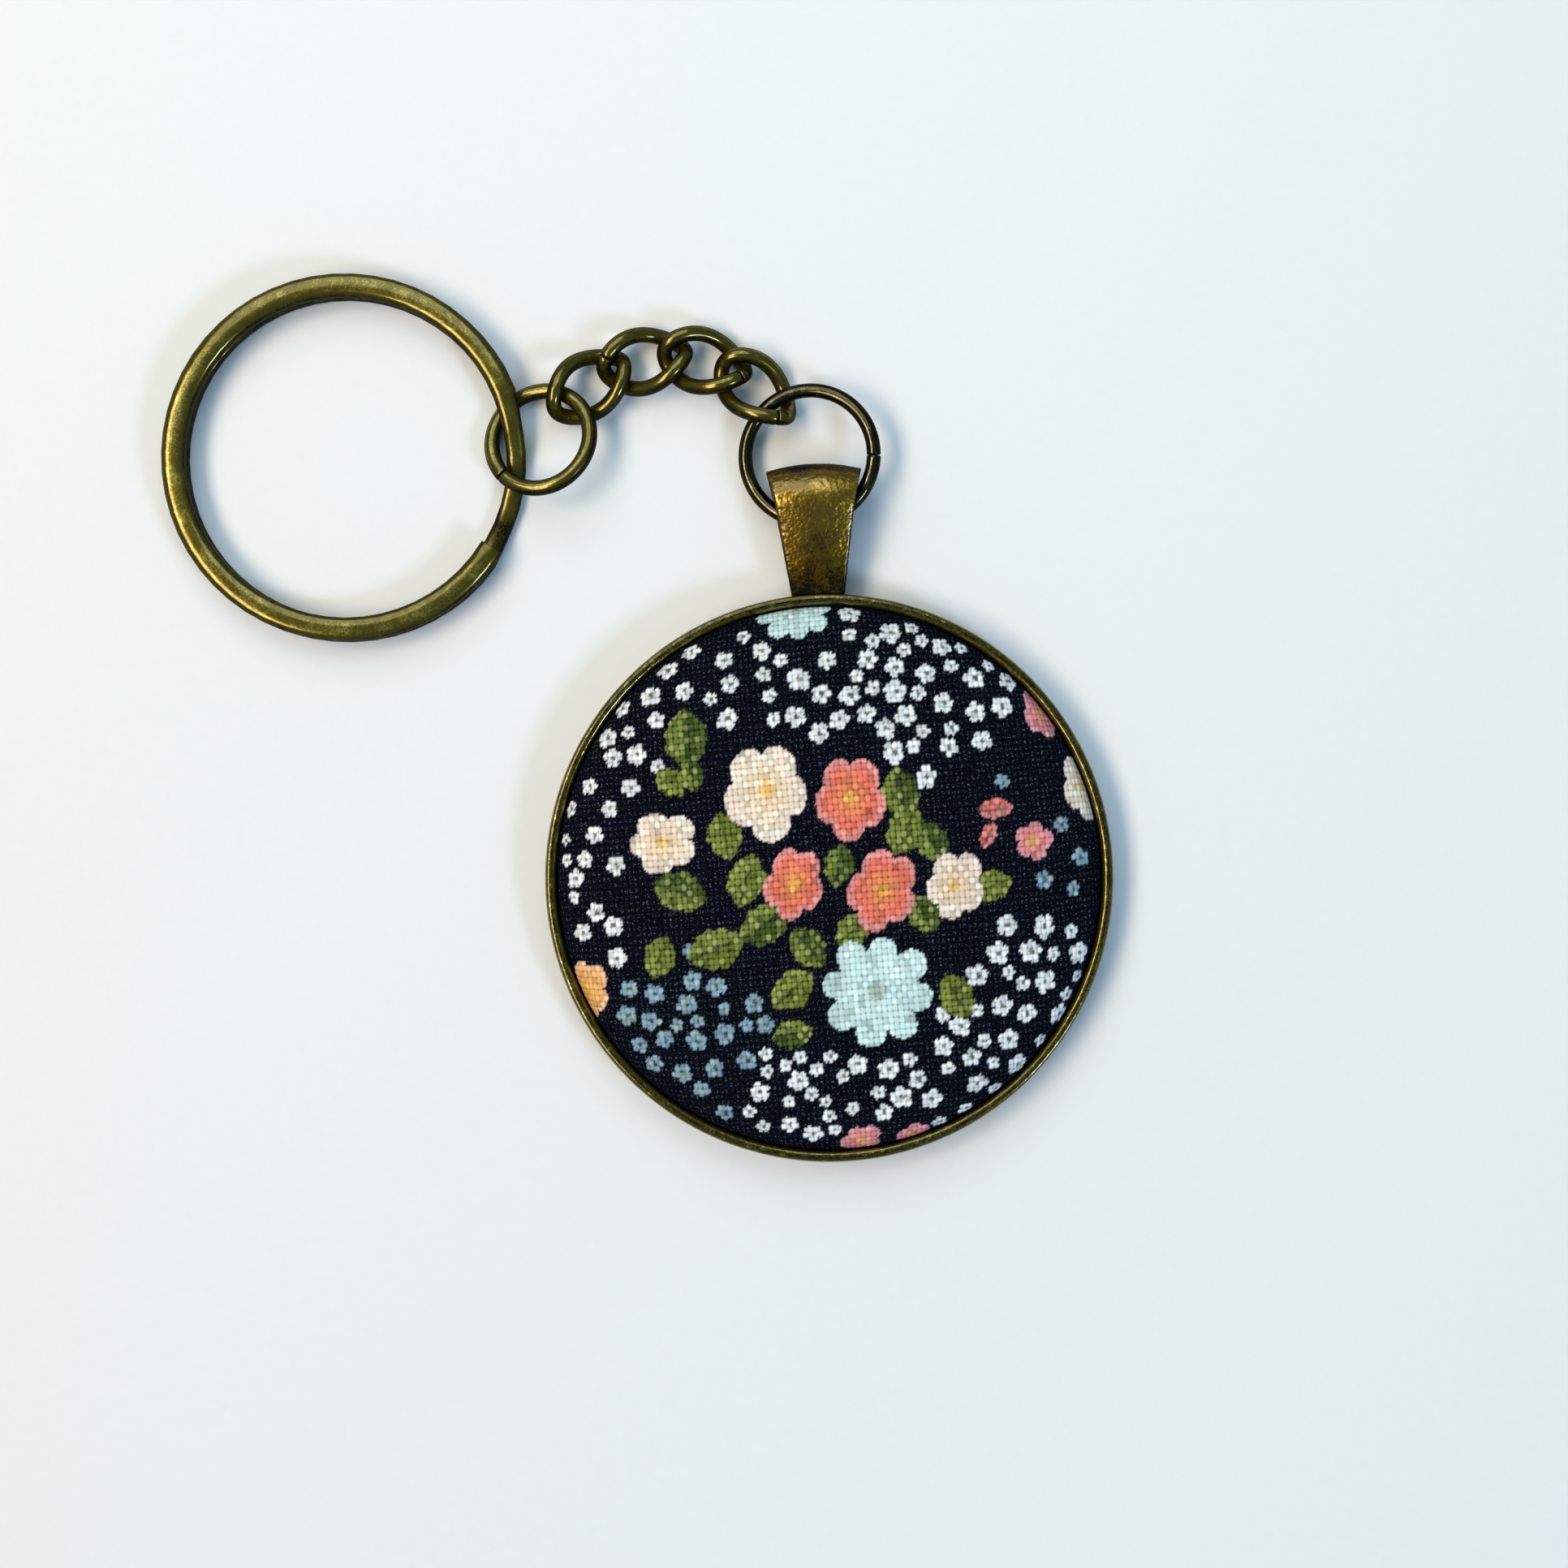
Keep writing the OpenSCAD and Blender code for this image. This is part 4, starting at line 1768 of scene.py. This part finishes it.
@dataclass
class ButtonCore:
    """The pieces inside the button, whose shapes are right as they stand."""

    metal: PressedMetal = field(default_factory=PressedMetal)
    glue: CuredGlue = field(default_factory=CuredGlue)

    def build(self) -> None:
        """Dresses the shell, the back and the glue."""
        metal = self.metal.build()
        for name in ("button_shell", "button_back"):
            Bench.dress(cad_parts[name], metal)
        Bench.dress(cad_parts["glue_pad"], self.glue.build())
        LOG.info("button core: shell, back and glue dressed")


@dataclass(frozen=True)
class Lamp:
    """A soft, oblong light aimed at the keychain.

    Attributes:
        name: The light's name.
        bearing: Its direction round the keychain in degrees, from +X towards +Y.
        height: Its angle above the floor in degrees.
        away: Its distance in millimetres.
        size: Its width and height in millimetres.
        power: Its power in watts.
        colour: Its colour.
        aim: The spot on the floor that it points at, in millimetres.
    """

    name: str
    bearing: float
    height: float
    away: float
    size: tuple[float, float]
    power: float
    colour: Colour
    aim: tuple[float, float] = (-8.0, 10.0)

    def hang(self) -> None:
        """Adds the light to the scene."""
        data = bpy.data.lights.new(self.name, "AREA")
        data.shape = "RECTANGLE"
        data.size, data.size_y = self.size[0] * MM, self.size[1] * MM
        data.energy = self.power
        data.color = self.colour
        lamp = bpy.data.objects.new(self.name, data)
        bpy.context.collection.objects.link(lamp)
        aim = Vector((self.aim[0] * MM, self.aim[1] * MM, 0))
        turn = Euler((0, math.radians(-self.height), math.radians(self.bearing)), "XYZ").to_matrix()
        lamp.location = aim + turn @ Vector((self.away * MM, 0, 0))
        lamp.rotation_euler = (aim - lamp.location).to_track_quat("-Z", "Y").to_euler()


@dataclass
class Studio:
    """A pale card floor, soft light from the left and a camera straight above.

    Attributes:
        camera_height: Height of the camera in millimetres.
        camera_over: The spot (x, y) under the camera in millimetres.
        camera_turn: How far the camera is turned about its own axis, in degrees.
        lens: Focal length in millimetres.
        sensor: Width of the sensor in millimetres.
        card: Width of the floor in metres.
        air: Colour of the light from all round.
        air_strength: Strength of the light from all round.
        lamps: The lights.
    """

    camera_height: float = 175.0
    camera_over: tuple[float, float] = (-2.93, 6.73)
    camera_turn: float = -2.2
    lens: float = 56.2
    sensor: float = 36.0
    card: float = 1.6
    air: Colour = (0.36, 0.74, 0.95)
    air_strength: float = 0.26
    lamps: tuple[Lamp, ...] = (
        Lamp("window", 187, 57, away=900, size=(727, 269), power=5.7, colour=(1.0, 0.83, 0.62)),
        Lamp("sky", -42, 40, away=600, size=(120, 120), power=1.2, colour=(0.5, 0.66, 0.95)),
        Lamp("room", 105, 50, away=300, size=(250, 250), power=0.41, colour=(0.85, 0.92, 0.92)))

    def build(self) -> None:
        """Sets up the camera, the floor and the lights."""
        self.camera()
        self.floor()
        for lamp in self.lamps:
            lamp.hang()
        world = bpy.data.worlds.new("studio")
        world.use_nodes = True
        background = world.node_tree.nodes["Background"]
        background.inputs["Color"].default_value = (*self.air, 1)
        background.inputs["Strength"].default_value = self.air_strength
        bpy.context.scene.world = world
        bpy.context.scene.view_settings.view_transform = "Standard"

    def camera(self) -> None:
        """Adds the camera, looking straight down."""
        data = bpy.data.cameras.new("overhead_camera")
        data.lens = self.lens
        data.sensor_width = self.sensor
        data.clip_start = 0.01
        camera = bpy.data.objects.new("overhead_camera", data)
        bpy.context.collection.objects.link(camera)
        camera.location = (self.camera_over[0] * MM, self.camera_over[1] * MM, self.camera_height * MM)
        camera.rotation_euler = (0, 0, math.radians(self.camera_turn))
        bpy.context.scene.camera = camera

    def floor(self) -> None:
        """Lays the card that the keychain rests on."""
        Bench.clear()
        bpy.ops.mesh.primitive_plane_add(size=self.card, location=(0, 0, 0))
        floor = bpy.context.object
        floor.name = "card_floor"
        Bench.dress(floor, PaperFloor().build())


def wire_pieces() -> list[WirePiece]:
    """Lists the key ring, the two jump rings and the four links in their rest poses.

    Returns:
        The pieces, from the key ring to the ring in the bail.
    """
    bronze = AgedBronze("antique_bronze")
    dark = AgedBronze("dark_bronze", patina=from_screen(10, 8, 4), bronze=from_screen(70, 60, 34),
                      rubbed=from_screen(140, 130, 96), green=from_screen(30, 28, 12), roughness=0.14,
                      lacquer=0.04, gloss=0.3, depth=1.5, bare=1.0)
    link_poses = {1: (Pose(-15.7, 35.5, 1.48, 4, 7, 36), 35),
                  2: (Pose(-11.65, 37.1, 1.34, -3, -1, 10), 150),
                  3: (Pose(-7.4, 36.85, 1.44, -8, 0, -18), -25),
                  4: (Pose(-3.85, 34.75, 1.52, -14, -2, -44), -32)}
    links = [CurbLink(f"chain_link_{number}", f"link_{number}", pose, bronze, seam=seam)
             for number, (pose, seam) in link_poses.items()]
    return [KeyRing("split_ring", "key_ring", Pose(-33.05, 31.0, 0.12, 0.5, 0, 6), bronze),
            JumpRing("small_jump_ring", "small_ring", Pose(-19.2, 31.75, 1.84, -16, -12, 8), bronze,
                     seam=216, joint=2.6),
            *links,
            JumpRing("large_jump_ring", "large_ring", Pose(-0.25, 29.85, 1.98, 1, -10, -3), dark,
                     slot="dark_bronze", wire=1.0, outer=10.2, joint=0.7, step=0.05)]


def main() -> None:
    """Builds the keychain in order and reports each piece."""
    logging.basicConfig(level=logging.INFO, format="%(message)s")
    Studio().build()
    for piece in wire_pieces():
        piece.build()
    Bail(AgedBronze("hammered_bronze", bronze=from_screen(118, 90, 8), rubbed=from_screen(206, 166, 52),
                    blotch=2.2, mottle=1.0, roughness=0.28, gloss=0.6, lacquer=0.1, dent=0.2,
                    dent_depth=0.022)).build()
    BezelTray(AgedBronze("tray_bronze", blotch=0.5, mottle=0.45, gloss=0.9, lacquer=0.07, dent=0.2,
                         dent_depth=0.008)).build()
    FabricCover(PrintedCotton()).build()
    ButtonCore().build()


if __name__ == "__main__":
    main()
